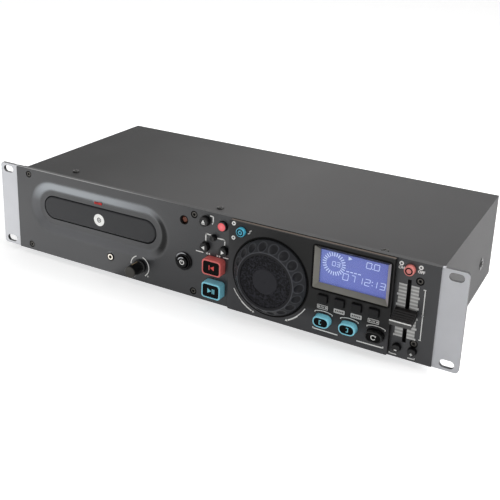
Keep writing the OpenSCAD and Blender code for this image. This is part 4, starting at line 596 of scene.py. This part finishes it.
def editAll():
    bpy.ops.object.mode_set(mode="EDIT")
    bpy.ops.mesh.select_all(action="SELECT")


def closeEdit():
    bpy.ops.mesh.select_all(action="SELECT")
    bpy.ops.mesh.normals_make_consistent(inside=False)
    bpy.ops.object.mode_set(mode="OBJECT")
    return bpy.context.object


def settle():    # puts the place into the mesh
    bpy.ops.object.transform_apply(location=True, rotation=True, scale=True)


def openPlane(x, z, w, h, y, turn=0.0):    # a plane, left in edit mode
    bpy.ops.mesh.primitive_plane_add(size=mm, **startAt(x, y, z, turn))
    bpy.context.object.scale = (w, h, 1)
    settle()
    editAll()


def openDisc(x, z, radius, count, y, turn=0.0, squeeze=1.0):    # a disc, left in edit mode
    place = startAt(x, y, z, turn)
    bpy.ops.mesh.primitive_circle_add(vertices=count, radius=radius * mm, fill_type="NGON", **place)
    bpy.context.object.scale = (squeeze, 1, 1)
    settle()
    editAll()


def keepBorder(border):    # leaves a frame of the selected face
    bpy.ops.mesh.inset(thickness=border * mm)
    bpy.ops.mesh.delete(type="FACE")


def pull(step):    # extrudes all by an offset in mm
    bpy.ops.mesh.select_all(action="SELECT")
    bpy.ops.mesh.extrude_region_move(TRANSFORM_OT_translate={"value": [v * mm for v in step]})


def pullForward(thick):
    pull((0, -thick, 0))
    return closeEdit()


def barPlate(x, z, w, h, y, proud=printed, turn=0.0):
    openPlane(x, z, w, h, y + rooted, turn)
    return pullForward(proud + rooted)


def roundPlate(x, z, w, h, corner, y, proud=printed, border=0.0):    # rounded rectangle, or its frame
    openPlane(x, z, w, h, y + rooted)
    bpy.ops.mesh.bevel(offset=corner * mm, segments=6, affect="VERTICES")
    if border:
        bpy.ops.mesh.select_all(action="SELECT")
        keepBorder(border)
    return pullForward(proud + rooted)


def ringPlate(x, z, outer, inner, y, proud=printed, count=40):    # ring, disc where inner is 0
    openDisc(x, z, outer, count, y + rooted)
    if inner:
        keepBorder(outer - inner)
    return pullForward(proud + rooted)


def trianglePlate(x, z, size, y, proud=printed, turn=0.0, squeeze=1.0):    # points up, then turned
    openDisc(x, z, size, 3, y + rooted, turn, squeeze)
    return pullForward(proud + rooted)


def arcPlate(x, z, radius, start, end, w, y, proud=printed, steps=20):    # a bar's section spun round an axis
    a = math.radians(start)
    place = (x + radius * math.cos(a), y + (rooted - proud) / 2, z + radius * math.sin(a))
    bpy.ops.object.select_all(action="DESELECT")
    bpy.ops.mesh.primitive_plane_add(size=mm, rotation=(0, -a, 0), location=[v * mm for v in place])
    bpy.context.object.scale = (w, rooted + proud, 1)
    settle()
    editAll()
    middle = (x * mm, y * mm, z * mm)
    bpy.ops.mesh.spin(steps=steps, angle=math.radians(end - start), center=middle, axis=(0, 1, 0))
    return closeEdit()


wordCut = {"root": 0.02, "curve": 3, "bold": 0.12, "merge": 1e-7}


def wordPlate(word, x, z, size, y, proud=printed):
    bpy.ops.object.text_add(**startAt(x, y + wordCut["root"], z))
    letters = bpy.context.object.data
    letters.body = word
    letters.size = size * mm
    letters.align_x, letters.align_y = "CENTER", "CENTER"
    letters.extrude = (proud + wordCut["root"]) * mm
    letters.resolution_u = wordCut["curve"]
    letters.offset = wordCut["bold"] * mm
    bpy.ops.object.convert(target="MESH")
    settle()
    editAll()
    bpy.ops.mesh.remove_doubles(threshold=wordCut["merge"])
    return closeEdit()


def linePlates(points, w, y, proud=printed):    # bars from point to point with round joints
    plates = []
    for (x0, z0), (x1, z1) in zip(points, points[1:]):
        length = math.hypot(x1 - x0, z1 - z0)
        turn = math.degrees(math.atan2(z1 - z0, x1 - x0))
        plates.append(barPlate((x0 + x1) / 2, (z0 + z1) / 2, length, w, y, proud, turn))
    for x, z in points[1:-1]:
        plates.append(ringPlate(x, z, w / 2, 0, y, proud, 12))
    return plates


def lineSets(rows, y):    # several lines, each with its width
    return [plate for wide, points in rows for plate in linePlates(points, wide, y)]


def joinPlates(plates, name, finish, body):
    bpy.ops.object.select_all(action="DESELECT")
    for plate in plates:
        plate.select_set(True)
    bpy.context.view_layer.objects.active = plates[0]
    if len(plates) > 1:
        bpy.ops.object.join()
    piece = bpy.context.object
    piece.name = piece.data.name = name
    piece.data.materials.clear()
    piece.data.materials.append(finishes[finish])
    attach(piece, body)
    return piece


def repeat(plate, count, step):    # copies along an offset in mm
    bpy.context.view_layer.objects.active = plate
    array = plate.modifiers.new("row", "ARRAY")
    array.count = count
    array.use_relative_offset = False
    array.use_constant_offset = True
    array.constant_offset_displace = [v * mm for v in step]
    bpy.ops.object.modifier_apply(modifier="row")
    return plate


# display: tick ring, signs and figures
display = {"ring": (129.8, 23.9), "ticks": 26, "tickIn": 6.9, "tickOut": 10.4, "tickWide": 0.85,
           "arrow": (143.2, 32, 2.3), "squeeze": 0.9, "dash": (142.2, 20.1, 2.5, 0.9), "dashes": 4,
           "dashStep": 3.45, "dots": ((163.5, 27.5), (164.1, 13.2), (164.1, 16.2)), "dot": 0.9,
           "stroke": 0.62, "fineStroke": 0.5, "fineBelow": 5, "lean": 0.1, "barGap": 1.3, "postGap": 0.8}
displayFigures = (("0", 129.6, 24.1, 3.3, 4.4), ("3", 133.6, 24.1, 3.3, 4.4),    # sign, x, z, width, height
                  ("0", 160.2, 29.9, 4.9, 5.7), ("0", 166.9, 29.9, 4.9, 5.7),
                  ("0", 140.7, 14.8, 5.2, 6.3), ("7", 147.4, 14.8, 3.6, 6.3),
                  ("1", 153.1, 14.8, 5.2, 6.3), ("2", 159.9, 14.7, 4.9, 6.3),
                  ("1", 165.9, 14.6, 4.9, 6.3), ("3", 172.9, 14.6, 4.9, 6.3))
segmentBars = {"a": (0, 1, 1), "b": (1, 0.5, 0), "c": (1, -0.5, 0), "d": (0, -1, 1), "e": (-1, -0.5, 0),
               "f": (-1, 0.5, 0), "g": (0, 0, 1)}    # side, height, lies flat
figures = {"0": "abcdef", "1": "bc", "2": "abged", "3": "abgcd", "7": "abc"}


def figurePlates(d, sign, x, z, w, h, y):    # one leaning figure of bar segments
    stroke = d["fineStroke"] if h < d["fineBelow"] else d["stroke"]
    plates = []
    for letter in figures[sign]:
        side, level, flat = segmentBars[letter]
        size = (w - stroke * d["barGap"], stroke) if flat else (stroke, h / 2 - stroke * d["postGap"])
        rise = level * (h - stroke) / 2
        turn = 0 if flat else -math.degrees(math.atan(d["lean"]))
        aside = side * (w - stroke) / 2 + rise * d["lean"]
        plates.append(barPlate(x + aside, z + rise, *size, y, turn=turn))
    return plates


def makeDisplay(d):
    y = nodeFront("lcd_module")
    x, z = d["ring"]
    barPlate(x, z + (d["tickIn"] + d["tickOut"]) / 2, d["tickWide"], d["tickOut"] - d["tickIn"], y)
    editAll()
    middle = (x * mm, 0, z * mm)
    bpy.ops.mesh.spin(steps=d["ticks"], angle=math.tau, dupli=True, center=middle, axis=(0, -1, 0))
    bpy.ops.mesh.select_all(action="SELECT")
    bpy.ops.mesh.remove_doubles(threshold=wordCut["merge"])
    plates = [closeEdit()]
    plates.append(trianglePlate(*d["arrow"], y, turn=-90, squeeze=d["squeeze"]))
    plates.append(repeat(barPlate(*d["dash"], y), d["dashes"], (d["dashStep"], 0, 0)))
    for row in displayFigures:
        plates += figurePlates(d, *row, y)
    plates += [barPlate(px, pz, d["dot"], d["dot"], y) for px, pz in d["dots"]]
    joinPlates(plates, "displaySigns", "segmentInk", "case")


makeDisplay(display)

bezel = {"mid": (147.2, 20.05), "opening": (59.4, 30.6), "slope": 3.7, "depth": 4.48, "lift": 0.06,
         "cuts": 2, "wall": 0.1, "groove": 1.7, "grooveCorner": 3.2}


def makeBezel(b):    # sloped frame round the display, laid over the block's own slope
    x, z = b["mid"]
    w, h = b["opening"]
    wider = 2 * b["slope"] - 2 * b["lift"]
    openPlane(x, z, w + wider, h + wider, blockY - b["lift"])
    bpy.ops.mesh.inset(thickness=b["slope"] * mm)
    bpy.ops.transform.translate(value=(0, b["depth"] * mm, 0))
    bpy.ops.mesh.delete(type="FACE")
    bpy.ops.mesh.select_all(action="SELECT")
    bpy.ops.mesh.subdivide(number_cuts=b["cuts"])
    piece = closeEdit()
    thicken = piece.modifiers.new("wall", "SOLIDIFY")
    thicken.thickness = b["wall"] * mm
    thicken.offset = -1
    bpy.ops.object.modifier_apply(modifier="wall")
    joinPlates([piece], "displayBezel", "bezelPlastic", "case")
    # a dark frame on the block round the bezel: the painted shade of the groove there
    wide = 2 * b["slope"] + 2 * b["groove"]
    groove = roundPlate(x, z, w + wide, h + wide, b["grooveCorner"], blockY, inlaid, b["groove"])
    joinPlates([groove], "displayGroove", "darkInk", "case")


makeBezel(bezel)
print("display done")

# print on the fascia: arcs round the knob, brackets round the keys
fasciaMarks = {"radius": 10.4, "arcs": ((112, 178), (-56, 72)), "wide": 0.95, "plus": (9.2, -8.4),
               "plusSize": (1.9, 0.6), "arrowZ": 3.5, "arrowSize": 1.35,
               "arrows": ((7.2, 90), (9.6, 90), (18.0, -90), (20.4, -90)),
               "lines": ((1.1, ((9.6, 40.4), (13, 40.2), (13, 34.2), (11.8, 32.9))),
                         (1.15, ((11, 22.3), (6.4, 22.6), (5.6, 21.6), (5.6, 15.6))),
                         (1.15, ((17.6, 20.6), (24.4, 20.9), (25.3, 19.8), (25.3, 15.6))),
                         (0.9, ((-4.7, 3.5), (3.2, 3.5))), (0.9, ((24, 3.5), (31, 3.5))))}


def makeFasciaPrint(m):
    x, z = knobMid
    y = fasciaY
    plates = [arcPlate(x, z, m["radius"], *arc, m["wide"], y) for arc in m["arcs"]]
    dx, dz = m["plus"]
    long, thin = m["plusSize"]
    plates += [barPlate(x + dx, z + dz, long, thin, y), barPlate(x + dx, z + dz, thin, long, y)]
    plates += lineSets(m["lines"], y)
    plates += [trianglePlate(tx, m["arrowZ"], m["arrowSize"], y, turn=turn) for tx, turn in m["arrows"]]
    joinPlates(plates, "fasciaPrint", "whiteInk", "case")


makeFasciaPrint(fasciaMarks)

# print on the control block: arcs round the wheel, marks at the loop keys
blockMarks = {"arc": 40.2, "arcs": ((209, 246), (-62, -30)), "wide": 0.75,
              "bold": ((228, 246), (-62, -46)), "boldOut": 0.2, "boldWide": 1.25, "boldProud": 0.05,
              "tips": ((248, -110), (-64, 120)), "tipSize": 1.4, "modeWide": 0.8,
              "modeLine": ((6.2, -0.6), (7.6, -0.3), (8.1, 0.8), (8.1, 2.2), (9.6, 2.8)),
              "loops": ("loop_in_button", "loop_out_button", "reloop_button"), "loopDrop": 14.2,
              "loopArc": (22.2, 70, 110, 0.55), "loopSteps": 14, "loopEnd": (7.9, 6.1, 0.6, 1.3),
              "underlines": ((1.05, ((116.6, -35.6), (116.6, -36.9), (139.4, -37.2))),
                             (1.05, ((156.4, -37.2), (179.6, -36.9), (179.6, -35.6)))),
              "seat": (37.1, 35.65), "seatCount": 96}


def makeBlockPrint(b):
    jx, jz = jogMid
    y = blockY
    plates = [arcPlate(jx, jz, b["arc"], *arc, b["wide"], y) for arc in b["arcs"]]
    plates += [arcPlate(jx, jz, b["arc"] + b["boldOut"], *arc, b["boldWide"], y, b["boldProud"])
               for arc in b["bold"]]    # both arcs grow downwards
    for angle, turn in b["tips"]:
        a = math.radians(angle)
        tip = (jx + b["arc"] * math.cos(a), jz + b["arc"] * math.sin(a))
        plates.append(trianglePlate(*tip, b["tipSize"], y, turn=turn))
    mx, mz = nodeMid("jog_mode_button")
    plates += linePlates([(mx + dx, mz + dz) for dx, dz in b["modeLine"]], b["modeWide"], y)
    aside, above, w, h = b["loopEnd"]
    for name in b["loops"]:
        lx, lz = nodeMid(name)
        plates.append(arcPlate(lx, lz - b["loopDrop"], *b["loopArc"], y, steps=b["loopSteps"]))
        plates += [barPlate(lx + s * aside, lz + above, w, h, y) for s in (-1, 1)]
    plates += lineSets(b["underlines"], y)
    joinPlates(plates, "blockPrint", "whiteInk", "case")
    # a dark ring on the block round the wheel: painted shade of the gap
    seat = ringPlate(jx, jz, *b["seat"], y, inlaid, b["seatCount"])
    joinPlates([seat], "wheelSeat", "darkInk", "case")


makeBlockPrint(blockMarks)

keyLabels = {"z": -15.2, "size": (9.8, 3.9), "corner": 0.6, "outlined": (1, 4), "border": 0.6,
             "dotAside": 3.2, "dot": 0.85, "dotCount": 20, "light": (-1.2, 0.6, 1.6, 3, 1.2),
             "dark": (-3.3, 0.9, 1.6, 5, 1.65)}    # signs: first place, width, height, count, step


def makeKeyLabels(k):    # labels under the display keys, with bars and dots as signs
    y, z = blockY, k["z"]
    labels, signs = [], []
    for i in range(1, 5):
        x = nodeMid(f"display_key_{i}")[0]
        outlined = i in k["outlined"]
        start, w, h, count, step = k["light"] if outlined else k["dark"]
        labels.append(roundPlate(x, z, *k["size"], k["corner"], y, border=k["border"] if outlined else 0.0))
        bars = repeat(barPlate(x + start, z, w, h, y if outlined else y - printed), count, (step, 0, 0))
        if outlined:    # light signs inside a frame
            for dotX in (x - k["dotAside"], x + k["dotAside"]):
                labels.append(ringPlate(dotX, z, k["dot"], 0, y, count=k["dotCount"]))
            labels.append(bars)
        else:    # dark signs on a filled label
            signs.append(bars)
    joinPlates(labels, "keyLabels", "greyInk", "case")
    joinPlates(signs, "keyLabelSigns", "darkInk", "case")


makeKeyLabels(keyLabels)

# dark seats round the fascia's screws and the sensor
seats = {"leftZ": 38, "middle": (-7, 38), "rightZ": 27.8, "ring": (3.5, 2.6), "cross": (3.0, 0.85),
         "turns": (40, 130), "head": 0.1, "sensor": (4.5, 3.75)}


def makeSeats(s):
    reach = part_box("fascia_screws")[1].x / mm - s["ring"][1]
    rows = ((-reach, s["leftZ"]), s["middle"], (reach, s["rightZ"]))
    screws = [(x, side * z) for x, z in rows for side in (-1, 1)]
    rings = [ringPlate(x, z, *s["ring"], fasciaY, inlaid) for x, z in screws]
    for x, z in screws:
        rings += [barPlate(x, z, *s["cross"], fasciaY + s["head"], inlaid, turn) for turn in s["turns"]]
    rings.append(ringPlate(*nodeMid("remote_sensor"), *s["sensor"], fasciaY, inlaid))
    joinPlates(rings, "fasciaSeats", "darkInk", "case")


makeSeats(seats)

# fader scale, lamp rings and switch words
faderScale = {"sides": ((186.8, 193.4, -1), (197.0, 203.5, 1)), "top": 22.0, "low": -23.9, "lines": 16,
              "line": 0.45, "backing": 0.02, "tickOut": 0.5, "tickWide": 1.1, "tick": 0.6, "every": 3,
              "rangeX": 208.4, "rangeZ": (21.4, -23.1), "rangeWide": 0.7, "rangeEnd": (-0.4, 2.2, 0.75),
              "zero": (-1.2, 0.9), "zeroCount": 16, "words": (("ON", 187.5, 36.0), ("OFF", 203.7, 35.8)),
              "wordSize": 3.2,
              "underlines": ((0.8, ((184, -40.6), (184, -41.8), (190, -41.8))),
                             (0.8, ((199.5, -41.8), (205.3, -41.8), (205.3, -40.6))))}


def makeFaderScale(s):
    y = fasciaY
    high = s["top"] - s["low"]
    step = high / (s["lines"] - 1)
    plates, backs = [], []
    for x0, x1, side in s["sides"]:
        x, w = (x0 + x1) / 2, x1 - x0
        backs.append(barPlate(x, (s["top"] + s["low"]) / 2, w, high, y, s["backing"]))
        plates.append(repeat(barPlate(x, s["low"], w, step * s["line"], y), s["lines"], (0, 0, step)))
        outer = x + side * (w / 2 + s["tickOut"])
        tick = barPlate(outer, s["low"], s["tickWide"], step * s["tick"], y)
        plates.append(repeat(tick, s["lines"] // s["every"], (0, 0, step * s["every"])))
    joinPlates(backs, "faderBacking", "hatchInk", "case")
    joinPlates(plates, "faderScale", "greyInk", "case")
    x = s["rangeX"]
    inwards, w, h = s["rangeEnd"]
    plates = linePlates([(x, z) for z in s["rangeZ"]], s["rangeWide"], y)
    plates += [barPlate(x + inwards, z, w, h, y) for z in s["rangeZ"]]
    plates.append(ringPlate(x, *s["zero"], 0, y, count=s["zeroCount"]))
    plates += lineSets(s["underlines"], y)
    plates += [wordPlate(*row, s["wordSize"], y) for row in s["words"]]
    joinPlates(plates, "faderPrint", "whiteInk", "case")


makeFaderScale(faderScale)

lampRings = {"ring": (1.85, 0.85), "proud": 0.5, "block": ((36.6, 41.1), (36.6, 27.7)),
             "fascia": ((187.2, 39.8), (203.2, 39.8))}


def makeLampRings(r):
    rings = [ringPlate(x, z, *r["ring"], y, r["proud"])
             for y, key in ((blockY, "block"), (fasciaY, "fascia")) for x, z in r[key]]
    joinPlates(rings, "lampRings", "whiteInk", "case")


makeLampRings(lampRings)
print("print done")

# signs that move with the buttons: body, how deep they sit, and marks by kind
buttonSigns = {
    "ejectSign": ("eject", 0.05, (("triangle", 0, 0.2, 2.0, 0), ("bar", 0, -1.7, 3.4, 0.6))),
    "previousSign": ("previous", 0.05, (("triangle", 0, 0, 2.2, 90),)),
    "nextSign": ("next", 0.05, (("triangle", 0, 0, 2.2, -90),)),
    "bendMinusSign": ("bend_minus", 0.05, (("bar", 0, -1.2, 2.3, 0.75),)),
    "bendPlusSign": ("bend_plus", 0.05, (("bar", 0, -1.2, 2.3, 0.75), ("bar", 0, -1.2, 0.75, 2.3))),
    "powerSign": ("power", 0.1, (("arc", 2.1, 118, 422, 0.75, 28), ("bar", 0, 1.5, 0.7, 2.2))),
}
buttonRings = {"proud": 0.05, "pitchRing": ("pitch", (("ring", 3.1, 2.1, 40),)),
               "jogModeRing": ("jog_mode", (("ring", 3.3, 2.2, 40), ("ring", 0.8, 0, 20)))}


def signPlates(marks, x, z, y, proud=printed):    # each mark with its offset from the button's middle
    plates = []
    for kind, *v in marks:
        if kind == "triangle":
            plates.append(trianglePlate(x + v[0], z + v[1], v[2], y, proud, v[3]))
        elif kind == "bar":
            plates.append(barPlate(x + v[0], z + v[1], v[2], v[3], y, proud))
        elif kind == "arc":
            plates.append(arcPlate(x, z, *v[:4], y, proud, v[4]))
        else:
            plates.append(ringPlate(x, z, v[0], v[1], y, proud, v[2]))
    return plates


def makeButtonSigns(signs, rings):
    for name, (body, sunk, marks) in signs.items():
        node = body + "_button"
        plates = signPlates(marks, *nodeMid(node), nodeFront(node) + sunk)
        joinPlates(plates, name, "whiteInk", body)
    for name in ("pitchRing", "jogModeRing"):
        body, marks = rings[name]
        node = body + "_button"
        plates = signPlates(marks, *nodeMid(node), nodeFront(node), rings["proud"])
        joinPlates(plates, name, "darkInk", body)


makeButtonSigns(buttonSigns, buttonRings)

keyWindow = {"recess": 0.4, "proud": 0.1, "lip": 0.8, "gap": 0.1, "flat": 0.25}    # lip: behind the panel
keyFaces = {"cue": {"frame": 1.4, "corner": 2.3, "ink": "redInk",
                    "marks": (("triangle", 1.5, 0, 2.6, 90), ("bar", -2.1, 0, 0.9, 4.4))},
            "play": {"frame": 1.4, "corner": 2.3, "ink": "cyanInk",
                     "marks": (("triangle", -2.0, 0, 2.7, -90), ("bar", 1.7, 0, 0.9, 4.6),
                               ("bar", 3.4, 0, 0.9, 4.6))},
            "loop_in": {"frame": 1.2, "corner": 3.6, "ink": "cyanInk",
                        "marks": (("bar", -1.2, 0, 0.75, 4.2), ("bar", -0.4, -1.75, 1.7, 0.7),
                                  ("bar", -0.4, 1.75, 1.7, 0.7))},
            "loop_out": {"frame": 1.2, "corner": 3.6, "ink": "cyanInk",
                         "marks": (("bar", 1.2, 0, 0.75, 4.2), ("bar", 0.4, -1.75, 1.7, 0.7),
                                   ("bar", 0.4, 1.75, 1.7, 0.7))},
            "reloop": {"frame": 1.2, "corner": 3.6, "ink": "whiteInk",
                       "marks": (("arc", 1.9, 40, 330, 0.65, 20), ("triangle", 1.75, 1.25, 1.1, -35))}}


def makeKeyFaces(window, keys):
    for body, key in keys.items():
        node = body + "_button"
        low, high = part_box(node)
        x, z = nodeMid(node)
        y = nodeFront(node) + window["recess"]
        border = 2 * window["lip"] + 2 * key["frame"] + window["gap"]
        w = (high.x - low.x) / mm - border
        h = (high.z - low.z) / mm - border
        face = roundPlate(x, z, w, h, min(key["corner"], h / 2 - window["flat"]), y, window["proud"])
        joinPlates([face], body + "Window", "darkInk", body)
        signs = signPlates(key["marks"], x, z, y - window["proud"])
        joinPlates(signs, body + "Sign", key["ink"], body)


makeKeyFaces(keyWindow, keyFaces)
print("button faces done")

# drawer sign, aux washer, knob pointer, fader line
discSign = {"shift": (1.0, -0.6), "rings": ((6.2, 2.5), (1.6, 0.9))}
auxWasher = {"ring": (4.2, 2.95), "proud": 0.25}


def makeDoorSign(d, washer):
    x, z = (v + shift for v, shift in zip(nodeMid("tray_door"), d["shift"]))
    rings = [ringPlate(x, z, *ring, nodeFront("tray_door")) for ring in d["rings"]]
    joinPlates(rings, "discSign", "whiteInk", "tray")
    ring = ringPlate(*nodeMid("aux_socket"), *washer["ring"], fasciaY, washer["proud"])
    joinPlates([ring], "auxWasher", "darkInk", "case")


makeDoorSign(discSign, auxWasher)

knobPointer = {"y": -12.5, "rise": 6.4, "size": (0.95, 9, 0.3), "edge": 0.1}
faderLine = {"back": 0.6, "nose": 0.63, "rise": 0.2, "tilt": 21.3, "size": (18.06, 1.15, 0.35), "edge": 0.08}


def softBar(place, size, edge, tilt=0.0):    # bar with softened edges, mm
    bpy.ops.object.select_all(action="DESELECT")
    turn = (math.radians(tilt), 0, 0)
    bpy.ops.mesh.primitive_cube_add(size=mm, location=[v * mm for v in place], rotation=turn)
    bpy.context.object.scale = size
    settle()
    editAll()
    bpy.ops.mesh.bevel(offset=edge * mm, segments=2, affect="EDGES")
    return closeEdit()


def makePointers(k, f):
    x, z = knobMid
    # pointer line on the knob's rib, tan as the highlight seen there: a pointer mark with a painted highlight
    pointer = softBar((x, k["y"], z + k["rise"]), k["size"], k["edge"])
    joinPlates([pointer], "knobPointer", "tanPointerHighlight", "volume")
    low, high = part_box("fader_cap")
    nose = (high.z - f["nose"] * (high.z - low.z)) / mm    # height of the cap's front edge
    place = ((low.x + high.x) / 2 / mm, low.y / mm + f["back"], nose + f["rise"])
    line = softBar(place, f["size"], f["edge"], f["tilt"])
    joinPlates([line], "faderLine", "whiteInk", "fader")


makePointers(knobPointer, faderLine)
print("trims done")

# dished cups round the cover's side screws
sideCups = {"x": 218.5, "places": ((40, -16.5), (155, -16.5)), "outer": 6.6, "inner": 3.5, "thick": 0.5,
            "sunk": 0.1, "taper": 0.9, "count": 48}


def makeSideCups(s):
    cups = []
    for side in (-1, 1):
        for y, z in s["places"]:
            bpy.ops.object.select_all(action="DESELECT")
            place = (side * (s["x"] - s["sunk"]) * mm, y * mm, z * mm)
            bpy.ops.mesh.primitive_circle_add(vertices=s["count"], radius=s["outer"] * mm, fill_type="NGON",
                                              location=place, rotation=(0, math.pi / 2, 0))
            settle()
            editAll()
            keepBorder(s["outer"] - s["inner"])
            pull((side * (s["thick"] + s["sunk"]), 0, 0))
            bpy.ops.transform.resize(value=(1, s["taper"], s["taper"]), center_override=(0, y * mm, z * mm))
            cups.append(closeEdit())
    joinPlates(cups, "sideCups", "blackPlastic", "case")


makeSideCups(sideCups)

# rear sockets: metal sleeves and coloured insulators
rearSockets = {"places": (2, 20, 38), "z": -12, "end": 209.5, "sleeve": (4.4, 3.25), "sleeveY": (-9, 0.1),
               "insulator": (3.2, 1.65), "insulatorY": (-8.4, -1.2),
               "colours": ("redPlastic", "creamPlastic", "darkInk")}


def makeRear(r):
    def ring(x, kind):    # ring between two planes behind the case
        front, back = (r["end"] + v for v in r[kind + "Y"])
        return ringPlate(x, r["z"], *r[kind], back - rooted, back - front - rooted)

    joinPlates([ring(x, "sleeve") for x in r["places"]], "socketSleeves", "nickel", "case")
    for i, (x, colour) in enumerate(zip(r["places"], r["colours"])):
        joinPlates([ring(x, "insulator")], f"socketInsulator{i + 1}", colour, "case")


makeRear(rearSockets)
print("rear done")

# stage: pale sweep, world and lamps
stage = {"size": 6.0, "drop": -0.05, "wall": 3.0, "bounce": 0.86, "lift": 0.55, "world": 0.5}


def shownRays(tree):    # what the camera sees, straight, in gloss and through glass
    rays = addNode(tree, "ShaderNodeLightPath").outputs
    seen = rays["Is Camera Ray"]
    for ray in ("Is Glossy Ray", "Is Transmission Ray"):
        seen = larger(tree, seen, rays[ray])
    return seen


def makeStage(s):
    bpy.ops.object.select_all(action="DESELECT")
    bpy.ops.mesh.primitive_plane_add(size=s["size"], location=(0, 0, s["drop"]))
    floor = bpy.context.object
    floor.name = "paleSweep"
    settle()
    bpy.ops.object.mode_set(mode="EDIT")
    mesh = bmesh.from_edit_mesh(floor.data)
    for edge in mesh.edges:    # the rear edge goes up as the wall
        edge.select_set(all(v.co.y > s["size"] / 2 - mm for v in edge.verts))
    mesh.select_flush_mode()
    bmesh.update_edit_mesh(floor.data)
    bpy.ops.mesh.extrude_region_move(TRANSFORM_OT_translate={"value": (0, 0, s["wall"])})
    closeEdit()
    material, tree, shader = newMaterial("paleFloor")
    tree.nodes.remove(shader)
    diffuse = addNode(tree, "ShaderNodeBsdfDiffuse", {"Color": (s["bounce"],) * 3 + (1,)})
    strength = times(tree, shownRays(tree), s["lift"])
    lift = addNode(tree, "ShaderNodeEmission", {"Color": (1, 1, 1, 1), "Strength": strength})
    both = addNode(tree, "ShaderNodeAddShader", {0: diffuse.outputs[0], 1: lift.outputs[0]})
    tree.links.new(both.outputs[0], tree.nodes["Material Output"].inputs["Surface"])
    floor.data.materials.append(material)


def makeWorld(s):
    world = bpy.data.worlds.new("studio")
    bpy.context.scene.world = world
    world.use_nodes = True
    tree = world.node_tree
    back = tree.nodes["Background"]
    back.inputs["Color"].default_value = (1, 1, 1, 1)
    tree.links.new(ramp(tree, shownRays(tree), 0, 1, s["world"], 1.0), back.inputs["Strength"])


makeStage(stage)
makeWorld(stage)

lamps = {"keyRight": {"place": (1.3, 0.1, 0.7), "aim": (0.1, 0.1, 0), "size": 1.0, "power": 10},
         "topBack": {"place": (0.35, 0.7, 1.1), "aim": (0.1, 0.1, 0), "size": 0.9, "power": 7},
         "frontLeft": {"place": (-0.9, -1.1, 0.2), "aim": (-0.15, 0, 0), "size": 0.9, "power": 0.6},
         "lowCard": {"place": (-0.5, -0.255, -0.046), "aim": (-0.5, -0.255, 1), "size": 0.8, "deep": 0.5,
                     "power": 1.1}}


def makeLamps(rows):
    for name, row in rows.items():
        bpy.ops.object.light_add(type="AREA", location=row["place"])
        lamp = bpy.context.object
        lamp.name = name
        lamp.data.shape = "RECTANGLE" if "deep" in row else "DISK"
        lamp.data.size = row["size"]
        lamp.data.size_y = row.get("deep", row["size"])
        lamp.visible_camera = False
        lamp.data.energy = row["power"]
        aim = Vector(row["aim"]) - Vector(row["place"])
        lamp.rotation_euler = aim.to_track_quat("-Z", "Y").to_euler()


makeLamps(lamps)
print("stage done")
